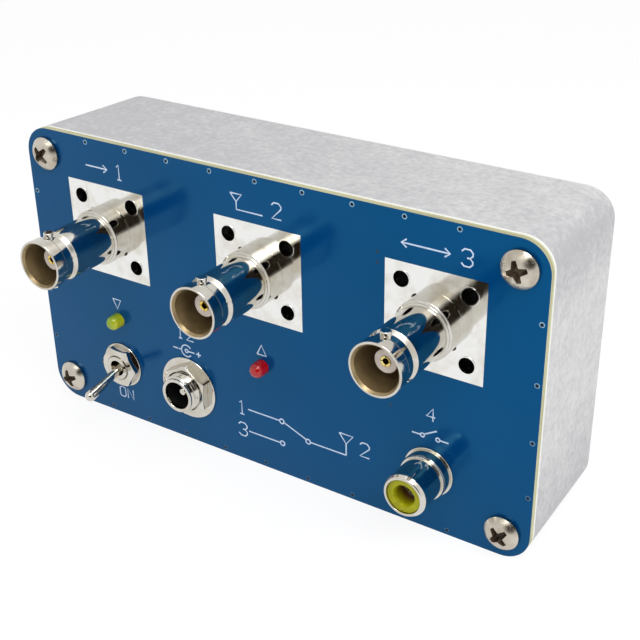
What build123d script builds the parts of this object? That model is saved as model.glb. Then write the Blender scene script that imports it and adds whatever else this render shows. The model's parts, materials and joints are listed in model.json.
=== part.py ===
from build123d import *
import os
from math import cos, radians, sin, tan

# Coaxial antenna switch: a die-cast case closed by a circuit board that carries
# three BNC jacks, a toggle switch, a DC jack, an RCA jack and two lamps.
# Millimetres. X runs along the panel, Z is up and the panel faces -Y. The case
# stands on its long side, with the origin at the middle of its underside.
# "Depth" is measured outward from the panel's front face, so that what lies
# behind the face has a negative depth.

# ---------------------------------------------------------------- fits
FIT = 0.03            # radial clearance of pieces that are fixed to each other
RUN = 0.05            # radial clearance of pieces that turn in each other
NUT_CHAMFER = 30      # degrees, of the cone that turns off a nut's corners
NUT_CUT = 1.1         # the cone's outer end, as a share of the nut's corner radius

# ---------------------------------------------------------------- case and board
BOX_W = 111.7
BOX_H = 60.5
BOX_D = 29.0          # panel face to back
PANEL_T = 1.6
CORNER_R = 5.5
DRAFT = 1.5           # degrees, on the top and the two ends
WALL = 2.0
BACK_WALL = 2.2
BACK_EDGE_R = 1.5
BOSS_R = 4.2
SCREW_INSET_X = 5.1
SCREW_INSET_Z = 5.05

# ---------------------------------------------------------------- lid screws
SCREW_R = 1.75
SCREW_CLEAR = 0.25    # radial, in the board
SCREW_REACH = 8.0     # behind the panel
SCREW_HEAD_R = 3.3
SCREW_HEAD_H = 2.2
SCREW_RIM_H = 0.65
RECESS_ARM = 1.9      # half length of the cross recess
RECESS_W = 0.95
RECESS_DEPTH = 1.5
RECESS_LEAD = 0.2     # the cutter starts this far above the head
RECESS_TAPER = 12
SCREW_TIP_R = 1.05
SCREW_TIP_L = 0.7
CROWN_MID = (0.72, 0.54)      # halfway along the head's crown, as shares of its radius and height
SCREW_TURNS = (45, 18, 20, 44)   # degrees: top left, top right, bottom left, bottom right

# ---------------------------------------------------------------- board details
PAD_W = 19.0
PAD_T = 0.08
FLANGE_HOLE_PITCH = 12.7
FLANGE_HOLE_R = 1.5
PLATING_T = 0.2       # of the metal lining of the flange holes
VIA_R = 0.3
VIA_BORE_R = 0.17
VIA_RING_R = 0.38
VIA_RING_T = 0.03
VIA_INSET = 0.95
VIA_PITCH_X = 10.0
VIA_PITCH_Z = 11.0
VIA_CLEAR = 7.0       # from a lid screw's axis to the first hole, at least
PIN_CLEAR = 0.1       # radial, of soldered pins in the board

# ---------------------------------------------------------------- BNC jacks
JACK_PITCH = 36.0
JACK_DROP = 18.45     # of the jacks' axes below the board's top edge
BNC_LENGTH = 18.85    # above the tinned pad
BNC_R = 4.8
BNC_BASE_R = 5.5
BNC_BASE_H = 3.9
BNC_CONE_H = 0.4
BNC_BORE_R = 4.06
BNC_BORE_DEPTH = 9.0
BNC_MOUTH_R = 4.42     # of the bore's chamfered mouth
BNC_MOUTH_L = 0.45
BNC_LIP = 0.12
BNC_GROOVE_R = 4.35
BNC_GROOVE_SETBACK = 2.5
BNC_GROOVE_W = 1.95
BNC_RAMP_L = 0.85     # from the barrel down to the groove
BNC_LUG_R = 0.95
BNC_LUG_REACH = 5.5
BNC_LUG_SETBACK = 3.3
BNC_LEG_R = 0.5
BNC_LEG_PITCH = 7.0
BNC_LEG_HOLE_R = 0.85   # wide, so that each shows as a crescent beside the base
LEG_REACH = 1.2       # of legs and pins, behind the panel
BNC_INSULATOR_R = 2.05
BNC_INSULATOR_SETBACK = 3.3
BNC_CONTACT_R = 0.92
BNC_CONTACT_BORE_R = 0.67
BNC_CONTACT_LENGTH = 7.0
BNC_CONTACT_BORE_DEPTH = 5.0
BNC_TAIL_R = 0.5

# ---------------------------------------------------------------- lower row
ROW_Z = 12.3

# toggle switch
TOG_X = -35.85
TOG_WASHER_R = 4.8
TOG_WASHER_T = 0.4
TOG_NUT_AF = 7.9
TOG_NUT_T = 1.5
TOG_NUT_TURN = -2     # degrees
TOG_BUSH_R = 2.5
TOG_BUSH_OUT = 2.1
TOG_MOUTH_R = 1.7
TOG_PLATE_T = 0.8
TOG_W = 6.9
TOG_H = 12.7
TOG_CASE_D = 8.5
TOG_CASE_WALL = 0.8
TOG_THROW = 12.9      # degrees each side of the bushing's axis
TOG_PIVOT = -0.5      # depth of the lever's pivot
TOG_BALL_R = 1.4
TOG_PIN_R = 0.3
TOG_TIP_R = 1.1
TOG_TIP_AT = 11.1     # tip's centre, from the pivot
TOG_NECK_R = 0.85
TOG_WAIST = 0.24      # where the neck ends, as a share of TOG_TIP_AT
TOG_ARM_R = 0.65
TOG_PLUNGER_R = 1.05
TOG_PLUNGER_TOP = 2.5
TOG_PLUNGER_END = 4.7
TOG_PLUNGER_GAP = 0.15
TOG_ROCKER_T = 0.5
TOG_ROCKER_W = 2.4
TOG_ROCKER_TILT = 7.0
TOG_ROCKER_RIB_R = 0.3
TOG_TERMINAL_PITCH = 4.1
TOG_TERMINAL_W = 1.6
TOG_TERMINAL_T = 0.8
TOG_TERMINAL_REACH = 3.4
TOG_CONTACT_GAP = 0.12

# DC jack
DC_X = -18.35
DC_WASHER_R = 6.65
DC_WASHER_T = 0.4
DC_NUT_AF = 9.8
DC_NUT_T = 1.6
DC_NUT_TURN = 28      # degrees
DC_BUSH_R = 4.0
DC_BUSH_OUT = 4.1
DC_THREAD_PITCH = 0.75
DC_THREAD_DEPTH = 0.3
DC_MOUTH_R = 2.9
DC_LIP = 0.7
DC_LIP_R = 3.6
DC_LINER_R = 3.2
DC_BODY_R = 4.9
DC_BODY_BACK = 9.5    # behind the panel
DC_PIN_R = 1.05
DC_PIN_SETBACK = 1.7
DC_REAR_T = 1.5
DC_LUG_W = 2.0
DC_LUG_T = 0.4
DC_LUG_R = 1.9
DC_LUG_REACH = 3.5
DC_SPRING_T = 0.25
DC_SPRING_W = 1.8
DC_SPRING_SIDE = 0.2    # clear on each side of the spring, in the liner
DC_SPRING_SETBACK = 1.0   # of the spring's end behind the board's back
DC_SPRING_LIFT = 0.15   # how far the spring stands into the bore

# RCA jack
RCA_X = 36.0
RCA_WASHER_R = 4.85
RCA_WASHER_T = 0.4
RCA_FLANGE_R = 4.45
RCA_FLANGE_T = 2.4
RCA_FLANGE_EDGE = 0.15
RCA_R = 4.15
RCA_OUT = 9.3
RCA_FACE_R = 3.7
RCA_LIP_L = 1.1        # of the lip's rounded front
RCA_NECK_R = 4.05
RCA_NECK_SETBACK = 1.6
RCA_INSERT_R = 3.2
RCA_INSERT_SETBACK = 0.35
RCA_INSERT_DEPTH = 7.2
RCA_HOLE_R = 1.9
RCA_HOLE_MOUTH_R = 2.1
RCA_HOLE_MOUTH_DEPTH = 0.3
RCA_HOLE_DEPTH = 6.6
RCA_SLEEVE_R = 1.62    # inside, for the plug's pin
RCA_SLEEVE_SETBACK = 3.2
RCA_TAIL_R = 3.0
RCA_TAIL_BACK = 5.0   # behind the panel
RCA_NUT_AF = 8.0
RCA_NUT_T = 2.0
RCA_LUG_T = 0.5
RCA_LUG_R = 4.2
RCA_LUG_W = 2.4
RCA_LUG_LENGTH = 8.0
RCA_CONTACT_R = 0.8
RCA_CONTACT_GAP = 0.5
RCA_CONTACT_BACK = 3.0   # past the tail

# lamps
LAMP_XS = (-36.0, 0.0)
LAMP_Z = 22.55
LAMP_R = 1.5
LAMP_OUT = 3.0
LAMP_FLANGE_R = 1.9
LAMP_FLANGE_T = 1.0
LEAD_R = 0.25
LEAD_PITCH = 2.0
LEAD_DROP = 1.6
LEAD_SPAN = 3.2
LEAD_BEND = 0.75

# ---------------------------------------------------------------- relays
RELAY_XS = (-18.0, 18.0)
RELAY_W = 7.5
RELAY_L = 15.0
RELAY_BASE_T = 1.2
RELAY_COVER_D = 8.6
RELAY_WALL = 0.5
RELAY_COIL_R = 2.3
RELAY_ENDS = 6.0      # of the relay's length, beyond its coil
RELAY_CORE_R = 0.9
RELAY_IRON_T = 0.9
RELAY_IRON_W = 5.0
RELAY_POLE_GAP = 0.35
RELAY_EAR_W = 0.7
RELAY_HINGE_R = 0.25
RELAY_TRAVEL = 4      # degrees, from rest to the pole
RELAY_TONGUE_W = 1.4
RELAY_TONGUE_OVER = 0.7  # overlap of the tongue and the posts
RELAY_POST_W = 1.0
RELAY_POST_T = 0.35
RELAY_POST_H = 1.4    # above the base
RELAY_CONTACT_GAP = 0.06
RELAY_PIN_W = 0.5
RELAY_PIN_T = 0.25
RELAY_PIN_OUT = 1.1
RELAY_PIN_PITCH = 3.2

# ---------------------------------------------------------------- parts on the board's back
REGULATOR_X = 2.0
REGULATOR_W = 6.5
REGULATOR_L = 6.1
REGULATOR_T = 2.3
TAB_L = 1.2
TAB_W = 5.2
TAB_T = 0.6
TERMINAL_OUT = 2.4
TERMINAL_W = 0.8
TERMINAL_PITCH = 4.6
CAP_X = 14.0
CAP_R = 3.15
CAP_H = 5.4
CAP_BASE = 6.6
CAP_BASE_T = 0.6
DIODE_L = 4.3
DIODE_W = 2.6
DIODE_T = 2.1
TRANSISTOR_L = 2.9
TRANSISTOR_W = 1.3
TRANSISTOR_T = 1.0
CHIP_L = 2.0
CHIP_W = 1.25
CHIP_T = 0.6
CHIP_CAPACITOR_T = 0.9
CHIP_ROW_PITCH = 3.4
RESISTOR_ROW_L = 17.0
RESISTOR_ROW_START = 10.0   # left of the RCA jack

# ---------------------------------------------------------------- wires
WIRE_R = 0.55
WIRE_BEND = 2.0
WIRE_RUN = 6.0        # sideways, from a terminal to where the wire lands
WIRE_LONG_RUN = 9.0   # the same, of the toggle's outer wire

# ---------------------------------------------------------------- derived places
BNC_RIM = PAD_T + BNC_LENGTH
FRONT_Y = (BNC_RIM - BOX_D) / 2     # centres the whole switch on the origin, front to back
BACK = -PANEL_T                      # depth of the board's back face
LEAN = tan(radians(DRAFT))
RAIL_X = BOX_W / 2 - SCREW_INSET_X
RAIL_Z = BOX_H / 2 - SCREW_INSET_Z
JACK_Z = BOX_H - JACK_DROP
RELAY_Z = JACK_Z
SCREW_POINTS = (
    (-RAIL_X, BOX_H - SCREW_INSET_Z),
    (RAIL_X, BOX_H - SCREW_INSET_Z),
    (-RAIL_X, SCREW_INSET_Z),
    (RAIL_X, SCREW_INSET_Z),
)
JACKS = (("left", -JACK_PITCH), ("middle", 0.0), ("right", JACK_PITCH))
BNC_FLOOR = BNC_RIM - BNC_BORE_DEPTH
BNC_FACE = BNC_RIM - BNC_INSULATOR_SETBACK


def spaced(rail, pitch):
    """Places of the edge holes on either side of an edge's middle, between the lid screws."""
    gaps = int(2 * (rail - VIA_CLEAR) / pitch)
    return [(i - gaps / 2) * pitch for i in range(gaps + 1)]


def via_points():
    """Centres of the plated holes along the board's four edges."""
    points = []
    for x in spaced(RAIL_X, VIA_PITCH_X):
        points += [(x, VIA_INSET), (x, BOX_H - VIA_INSET)]
    for z in spaced(RAIL_Z, VIA_PITCH_Z):
        points += [(VIA_INSET - BOX_W / 2, BOX_H / 2 + z), (BOX_W / 2 - VIA_INSET, BOX_H / 2 + z)]
    return points


def face_plane(depth=0.0):
    """Plane parallel to the panel: local x is X, local y is Z, its normal points outward."""
    return Plane(origin=(0, FRONT_Y - depth, 0), x_dir=(1, 0, 0), z_dir=(0, -1, 0))


def turning_plane(x, z):
    """Plane through a fitting's axis: local x is the radius, local y the depth."""
    return Plane(origin=(x, FRONT_Y, z), x_dir=(1, 0, 0), z_dir=(0, 0, -1))


def side_plane(x):
    """Plane across X: local x is the depth, local y is Z."""
    return Plane(origin=(x, FRONT_Y, 0), x_dir=(0, -1, 0), z_dir=(-1, 0, 0))


def outward_axis(x, z):
    return Axis((x, FRONT_Y, z), (0, -1, 0))


def save(piece, name):
    """Label a finished piece and write it to its own file."""
    piece.part.label = name
    export_step(piece.part, f"parts/{name}.step")


def turned(name, x, z, profile):
    """A piece turned about a fitting's axis from (radius, depth) points."""
    with BuildPart() as piece:
        with BuildSketch(turning_plane(x, z)):
            with BuildLine():
                Polyline(*profile, close=True)
            make_face()
        revolve(axis=outward_axis(x, z))
    save(piece, name)


def washer(name, x, z, depth, outer_r, bore_r, thickness):
    with BuildPart() as piece:
        with BuildSketch(face_plane(depth)):
            with Locations((x, z)):
                Circle(outer_r)
                Circle(bore_r, mode=Mode.SUBTRACT)
        extrude(amount=thickness)
    save(piece, name)


def hex_nut(name, x, z, depth, flats, bore_r, thickness, turn):
    """A hex nut with its corners turned off to a cone on the outer face."""
    corner_r = flats / 2 / cos(radians(30))
    cut_r = NUT_CUT * corner_r
    with BuildPart() as piece:
        with BuildSketch(face_plane(depth)):
            with Locations((x, z)):
                RegularPolygon(corner_r, 6, rotation=turn)
                Circle(bore_r, mode=Mode.SUBTRACT)
        extrude(amount=thickness)
        with BuildSketch(turning_plane(x, z)):
            with BuildLine():
                Polyline(
                    (0, depth),
                    (cut_r, depth),
                    (cut_r, depth + thickness - (cut_r - flats / 2) * tan(radians(NUT_CHAMFER))),
                    (flats / 2, depth + thickness),
                    (0, depth + thickness),
                    close=True,
                )
            make_face()
        revolve(axis=outward_axis(x, z), mode=Mode.INTERSECT)
    save(piece, name)


# ================================================================ case and board
def drafted_block(back_depth, inset):
    """The case's outside drawn in by inset, from the board's back to a depth, its base upright."""
    lean = LEAN * (BACK - back_depth)
    half = BOX_W / 2 - inset
    top = BOX_H - inset
    with BuildPart() as block:
        with BuildSketch(side_plane(-BOX_W)):
            with BuildLine():
                Polyline(
                    (BACK, inset),
                    (BACK, top),
                    (back_depth, top - lean),
                    (back_depth, inset),
                    close=True,
                )
            make_face()
        extrude(amount=-2 * BOX_W)
        with BuildSketch(Plane.XY):
            with BuildLine():
                Polyline(
                    (-half, FRONT_Y - BACK),
                    (half, FRONT_Y - BACK),
                    (half - lean, FRONT_Y - back_depth),
                    (lean - half, FRONT_Y - back_depth),
                    close=True,
                )
            make_face()
        extrude(amount=BOX_H, mode=Mode.INTERSECT)
        fillet(block.edges().sort_by(SortBy.LENGTH)[:4], CORNER_R - inset)
    return block.part


with BuildPart() as cavity:
    add(drafted_block(BACK_WALL - BOX_D, WALL))
    with BuildSketch(face_plane(BACK)):
        with Locations(*SCREW_POINTS):
            Circle(BOSS_R)
    extrude(amount=-BOX_D, mode=Mode.SUBTRACT)

with BuildPart() as enclosure:
    add(drafted_block(-BOX_D, 0))
    fillet(enclosure.faces().sort_by(Axis.Y)[-1].edges(), BACK_EDGE_R)
    add(cavity.part, mode=Mode.SUBTRACT)
    with BuildSketch(face_plane(BACK)):
        with Locations(*SCREW_POINTS):
            Circle(SCREW_R + FIT)
    extrude(amount=-(SCREW_REACH + 2 * SCREW_R), mode=Mode.SUBTRACT)
save(enclosure, "enclosure")

with BuildPart() as front_panel:
    with BuildSketch(face_plane(BACK)):
        with Locations((0, BOX_H / 2)):
            RectangleRounded(BOX_W, BOX_H, CORNER_R)
        with Locations(*SCREW_POINTS):
            Circle(SCREW_R + SCREW_CLEAR, mode=Mode.SUBTRACT)
        with Locations(*via_points()):
            Circle(VIA_R, mode=Mode.SUBTRACT)
        for _, x in JACKS:
            with Locations((x, JACK_Z)):
                Circle(BNC_TAIL_R + PIN_CLEAR, mode=Mode.SUBTRACT)
                with GridLocations(FLANGE_HOLE_PITCH, FLANGE_HOLE_PITCH, 2, 2):
                    Circle(FLANGE_HOLE_R + PLATING_T + FIT, mode=Mode.SUBTRACT)
                with GridLocations(BNC_LEG_PITCH, BNC_LEG_PITCH, 2, 2):
                    Circle(BNC_LEG_HOLE_R, mode=Mode.SUBTRACT)
        with Locations((TOG_X, ROW_Z)):
            Circle(TOG_BUSH_R + FIT, mode=Mode.SUBTRACT)
        with Locations((DC_X, ROW_Z)):
            Circle(DC_BUSH_R + FIT, mode=Mode.SUBTRACT)
        with Locations((RCA_X, ROW_Z)):
            Circle(RCA_TAIL_R + FIT, mode=Mode.SUBTRACT)
        for x in LAMP_XS:
            with Locations((x, LAMP_Z)):
                Circle(LAMP_R + FIT, mode=Mode.SUBTRACT)
    extrude(amount=PANEL_T)
save(front_panel, "front_panel")

with BuildPart() as connector_pads:
    with BuildSketch(face_plane()):
        for _, x in JACKS:
            with Locations((x, JACK_Z)):
                Rectangle(PAD_W, PAD_W)
                Circle(BNC_TAIL_R + PIN_CLEAR, mode=Mode.SUBTRACT)
                with GridLocations(FLANGE_HOLE_PITCH, FLANGE_HOLE_PITCH, 2, 2):
                    Circle(FLANGE_HOLE_R, mode=Mode.SUBTRACT)
                with GridLocations(BNC_LEG_PITCH, BNC_LEG_PITCH, 2, 2):
                    Circle(BNC_LEG_HOLE_R, mode=Mode.SUBTRACT)
    extrude(amount=PAD_T)
    with BuildSketch(face_plane(BACK)):
        for _, x in JACKS:
            with Locations((x, JACK_Z)):
                with GridLocations(FLANGE_HOLE_PITCH, FLANGE_HOLE_PITCH, 2, 2):
                    Circle(FLANGE_HOLE_R + PLATING_T)
                    Circle(FLANGE_HOLE_R, mode=Mode.SUBTRACT)
    extrude(amount=PANEL_T)
save(connector_pads, "connector_pads")

with BuildPart() as stitching_vias:
    for depth, outer, thickness in ((0.0, VIA_RING_R, VIA_RING_T), (BACK, VIA_R - FIT, PANEL_T)):
        with BuildSketch(face_plane(depth)):
            with Locations(*via_points()):
                Circle(outer)
                Circle(VIA_BORE_R, mode=Mode.SUBTRACT)
        extrude(amount=thickness)
save(stitching_vias, "stitching_vias")

with BuildPart() as lid_screws:
    for (x, z), turn in zip(SCREW_POINTS, SCREW_TURNS):
        with BuildSketch(turning_plane(x, z)):
            with BuildLine():
                Polyline(
                    (0, SCREW_HEAD_H),
                    (0, BACK - SCREW_REACH),
                    (SCREW_TIP_R, BACK - SCREW_REACH),
                    (SCREW_R, BACK - SCREW_REACH + SCREW_TIP_L),
                    (SCREW_R, 0),
                    (SCREW_HEAD_R, 0),
                    (SCREW_HEAD_R, SCREW_RIM_H),
                )
                ThreePointArc(
                    (SCREW_HEAD_R, SCREW_RIM_H),
                    (SCREW_HEAD_R * CROWN_MID[0], SCREW_RIM_H + (SCREW_HEAD_H - SCREW_RIM_H) * CROWN_MID[1]),
                    (0, SCREW_HEAD_H),
                )
            make_face()
        revolve(axis=outward_axis(x, z))
        with BuildSketch(face_plane(SCREW_HEAD_H + RECESS_LEAD)):
            with Locations(Location((x, z, 0), (0, 0, turn))):
                Rectangle(2 * RECESS_ARM, RECESS_W)
                Rectangle(RECESS_W, 2 * RECESS_ARM)
        extrude(amount=-(RECESS_LEAD + RECESS_DEPTH), taper=RECESS_TAPER, mode=Mode.SUBTRACT)
save(lid_screws, "lid_screws")


# ================================================================ BNC jacks
def bnc_jack(label, x):
    """One upright BNC jack: shell with lugs and solder legs, insulator and contact."""
    groove_front = BNC_RIM - BNC_GROOVE_SETBACK
    groove_back = groove_front - BNC_GROOVE_W
    with BuildPart() as shell:
        with BuildSketch(turning_plane(x, JACK_Z)):
            with BuildLine():
                Polyline(
                    (BNC_INSULATOR_R + FIT, PAD_T),
                    (BNC_BASE_R, PAD_T),
                    (BNC_BASE_R, PAD_T + BNC_BASE_H),
                    (BNC_R, PAD_T + BNC_BASE_H + BNC_CONE_H),
                    (BNC_R, groove_back - BNC_RAMP_L),
                    (BNC_GROOVE_R, groove_back),
                    (BNC_GROOVE_R, groove_front),
                    (BNC_R, groove_front),
                    (BNC_R, BNC_RIM - BNC_LIP),
                    (BNC_R - BNC_LIP, BNC_RIM),
                    (BNC_MOUTH_R, BNC_RIM),
                    (BNC_BORE_R, BNC_RIM - BNC_MOUTH_L),
                    (BNC_BORE_R, BNC_FLOOR),
                    (BNC_INSULATOR_R + FIT, BNC_FLOOR),
                    close=True,
                )
            make_face()
        revolve(axis=outward_axis(x, JACK_Z))
        lug_y = FRONT_Y - (BNC_RIM - BNC_LUG_SETBACK)
        lug_root = (BNC_GROOVE_R + BNC_BORE_R) / 2
        for side in (1, -1):
            with BuildSketch(Plane(origin=(x, lug_y, JACK_Z + side * lug_root), z_dir=(0, 0, side))):
                Circle(BNC_LUG_R)
            extrude(amount=BNC_LUG_REACH - lug_root)
        with BuildSketch(face_plane(PAD_T)):
            with Locations((x, JACK_Z)):
                with GridLocations(BNC_LEG_PITCH, BNC_LEG_PITCH, 2, 2):
                    Circle(BNC_LEG_R)
        extrude(amount=-(PAD_T + PANEL_T + LEG_REACH))
    save(shell, f"{label}_jack_shell")

    neck = BNC_FACE - BNC_CONTACT_LENGTH
    turned(f"{label}_jack_insulator", x, JACK_Z, (
        (BNC_TAIL_R + FIT, PAD_T),
        (BNC_INSULATOR_R, PAD_T),
        (BNC_INSULATOR_R, BNC_FACE),
        (BNC_CONTACT_R + FIT, BNC_FACE),
        (BNC_CONTACT_R + FIT, neck),
        (BNC_TAIL_R + FIT, neck),
    ))
    socket_floor = BNC_FACE - BNC_CONTACT_BORE_DEPTH
    turned(f"{label}_jack_contact", x, JACK_Z, (
        (0, BACK - LEG_REACH),
        (BNC_TAIL_R, BACK - LEG_REACH),
        (BNC_TAIL_R, neck),
        (BNC_CONTACT_R, neck),
        (BNC_CONTACT_R, BNC_FACE + FIT),
        (BNC_CONTACT_BORE_R, BNC_FACE + FIT),
        (BNC_CONTACT_BORE_R, socket_floor),
        (0, socket_floor),
    ))


for label, x in JACKS:
    bnc_jack(label, x)

# ================================================================ toggle switch
TOG_PLATE_BACK = BACK - TOG_PLATE_T
TOG_CASE_BACK = TOG_PLATE_BACK - TOG_CASE_D
TOG_BORE_R = TOG_BALL_R + RUN
TOG_RIB = TOG_PIVOT - TOG_PLUNGER_END - TOG_PLUNGER_GAP - TOG_ROCKER_T   # depth of the rocker's pivot
TOG_ROCKER_L = 2 * TOG_TERMINAL_PITCH
TOG_DIP = TOG_ROCKER_L / 2 * sin(radians(TOG_ROCKER_TILT))
TOG_CONTACT = TOG_RIB - TOG_DIP - TOG_CONTACT_GAP   # depth of the end terminals' contact faces

with BuildPart() as toggle_bushing:
    with BuildSketch(face_plane(BACK)):
        with Locations((TOG_X, ROW_Z)):
            Rectangle(TOG_W, TOG_H)
    extrude(amount=-TOG_PLATE_T)
    with BuildSketch(face_plane(BACK)):
        with Locations((TOG_X, ROW_Z)):
            Circle(TOG_BUSH_R)
    extrude(amount=PANEL_T + TOG_BUSH_OUT)
    with BuildSketch(turning_plane(TOG_X, ROW_Z)):
        with BuildLine():
            Polyline(
                (0, TOG_PLATE_BACK),
                (TOG_BORE_R, TOG_PLATE_BACK),
                (TOG_BORE_R, TOG_PIVOT + TOG_BALL_R),
                (TOG_MOUTH_R, TOG_BUSH_OUT),
                (0, TOG_BUSH_OUT),
                close=True,
            )
        make_face()
    revolve(axis=outward_axis(TOG_X, ROW_Z), mode=Mode.SUBTRACT)
    with BuildSketch(Plane(origin=(TOG_X - TOG_BUSH_R, FRONT_Y - TOG_PIVOT, ROW_Z), z_dir=(1, 0, 0))):
        Circle(TOG_PIN_R + FIT)
    extrude(amount=2 * TOG_BUSH_R, mode=Mode.SUBTRACT)
save(toggle_bushing, "toggle_bushing")

washer("toggle_washer", TOG_X, ROW_Z, 0.0, TOG_WASHER_R, TOG_BUSH_R + FIT, TOG_WASHER_T)
hex_nut("toggle_nut", TOG_X, ROW_Z, TOG_WASHER_T, TOG_NUT_AF, TOG_BUSH_R + FIT, TOG_NUT_T, TOG_NUT_TURN)

with BuildPart() as toggle_pivot_pin:
    start = Plane(origin=(TOG_X - TOG_BUSH_R + FIT, FRONT_Y - TOG_PIVOT, ROW_Z), z_dir=(1, 0, 0))
    with BuildSketch(start):
        Circle(TOG_PIN_R)
    extrude(amount=2 * (TOG_BUSH_R - FIT))
save(toggle_pivot_pin, "toggle_pivot_pin")

# the lever rests thrown down: local y of this plane points out along the lever
lever_plane = Plane(
    origin=(TOG_X, FRONT_Y - TOG_PIVOT, ROW_Z),
    x_dir=(1, 0, 0),
    z_dir=(0, sin(radians(TOG_THROW)), -cos(radians(TOG_THROW))),
)
lever_axis = Axis(lever_plane.origin, lever_plane.y_dir)

with BuildPart() as toggle_lever:
    waist_at = TOG_TIP_AT * TOG_WAIST
    arm_end = -(TOG_PLUNGER_TOP + TOG_PLUNGER_END) / 2
    with BuildSketch(lever_plane):
        with BuildLine():
            Polyline(
                (0, arm_end),
                (TOG_ARM_R, arm_end),
                (TOG_ARM_R, 0),
                (TOG_NECK_R, 0),
                (TOG_NECK_R, waist_at),
                (TOG_TIP_R, TOG_TIP_AT),
            )
            ThreePointArc(
                (TOG_TIP_R, TOG_TIP_AT),
                (TOG_TIP_R * sin(radians(45)), TOG_TIP_AT + TOG_TIP_R * cos(radians(45))),
                (0, TOG_TIP_AT + TOG_TIP_R),
            )
            Line((0, TOG_TIP_AT + TOG_TIP_R), (0, arm_end))
        make_face()
    revolve(axis=lever_axis)
    with BuildSketch(lever_plane):
        with BuildLine():
            ThreePointArc((0, -TOG_BALL_R), (TOG_BALL_R, 0), (0, TOG_BALL_R))
            Line((0, TOG_BALL_R), (0, -TOG_BALL_R))
        make_face()
    revolve(axis=lever_axis)
    with BuildSketch(Plane(origin=(TOG_X - TOG_BUSH_R, FRONT_Y - TOG_PIVOT, ROW_Z), z_dir=(1, 0, 0))):
        Circle(TOG_PIN_R + RUN)
    extrude(amount=2 * TOG_BUSH_R, mode=Mode.SUBTRACT)
save(toggle_lever, "toggle_lever")

with BuildPart() as toggle_plunger:
    round_at = -(TOG_PLUNGER_END - TOG_PLUNGER_R)
    with BuildSketch(lever_plane):
        with BuildLine():
            Polyline(
                (0, arm_end - FIT),
                (TOG_ARM_R + FIT, arm_end - FIT),
                (TOG_ARM_R + FIT, -TOG_PLUNGER_TOP),
                (TOG_PLUNGER_R, -TOG_PLUNGER_TOP),
                (TOG_PLUNGER_R, round_at),
            )
            ThreePointArc(
                (TOG_PLUNGER_R, round_at),
                (TOG_PLUNGER_R * sin(radians(45)), round_at - TOG_PLUNGER_R * cos(radians(45))),
                (0, -TOG_PLUNGER_END),
            )
            Line((0, -TOG_PLUNGER_END), (0, arm_end - FIT))
        make_face()
    revolve(axis=lever_axis)
save(toggle_plunger, "toggle_plunger")

# the rocker rests tilted, its upper end pressed back on the upper terminal
rocker_tilt = radians(TOG_ROCKER_TILT)
rocker_plane = Plane(
    origin=(TOG_X - TOG_ROCKER_W / 2, FRONT_Y - TOG_RIB, ROW_Z),
    x_dir=(0, -cos(rocker_tilt), sin(rocker_tilt)),
    z_dir=(1, 0, 0),
)
with BuildPart() as toggle_rocker:
    with BuildSketch(rocker_plane):
        with Locations((TOG_ROCKER_T / 2, 0)):
            Rectangle(TOG_ROCKER_T, TOG_ROCKER_L)
        Circle(TOG_ROCKER_RIB_R)
    extrude(amount=TOG_ROCKER_W)
save(toggle_rocker, "toggle_rocker")

with BuildPart() as toggle_terminals:
    for step in (-1, 0, 1):
        top = TOG_RIB - TOG_CONTACT_GAP if step == 0 else TOG_CONTACT
        with BuildSketch(face_plane(top)):
            with Locations((TOG_X, ROW_Z + step * TOG_TERMINAL_PITCH)):
                Rectangle(TOG_TERMINAL_W, TOG_TERMINAL_T)
        extrude(amount=TOG_CASE_BACK - TOG_TERMINAL_REACH - top)
    with BuildSketch(Plane(origin=(TOG_X - TOG_W / 2, FRONT_Y - TOG_RIB, ROW_Z), z_dir=(1, 0, 0))):
        Circle(TOG_ROCKER_RIB_R + RUN)
    extrude(amount=TOG_W, mode=Mode.SUBTRACT)
save(toggle_terminals, "toggle_terminals")

with BuildPart() as toggle_case:
    with BuildSketch(face_plane(TOG_PLATE_BACK)):
        with Locations((TOG_X, ROW_Z)):
            Rectangle(TOG_W, TOG_H)
    extrude(amount=-TOG_CASE_D)
    with BuildSketch(face_plane(TOG_PLATE_BACK)):
        with Locations((TOG_X, ROW_Z)):
            Rectangle(TOG_W - 2 * TOG_CASE_WALL, TOG_H - 2 * TOG_CASE_WALL)
    extrude(amount=-(TOG_CASE_D - TOG_CASE_WALL), mode=Mode.SUBTRACT)
    with BuildSketch(face_plane(TOG_CASE_BACK)):
        with Locations((TOG_X, ROW_Z)):
            with GridLocations(1, TOG_TERMINAL_PITCH, 1, 3):
                Rectangle(TOG_TERMINAL_W + 2 * FIT, TOG_TERMINAL_T + 2 * FIT)
    extrude(amount=TOG_CASE_WALL, mode=Mode.SUBTRACT)
save(toggle_case, "toggle_case")

# ================================================================ DC jack
DC_TAIL = BACK - DC_BODY_BACK


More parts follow.
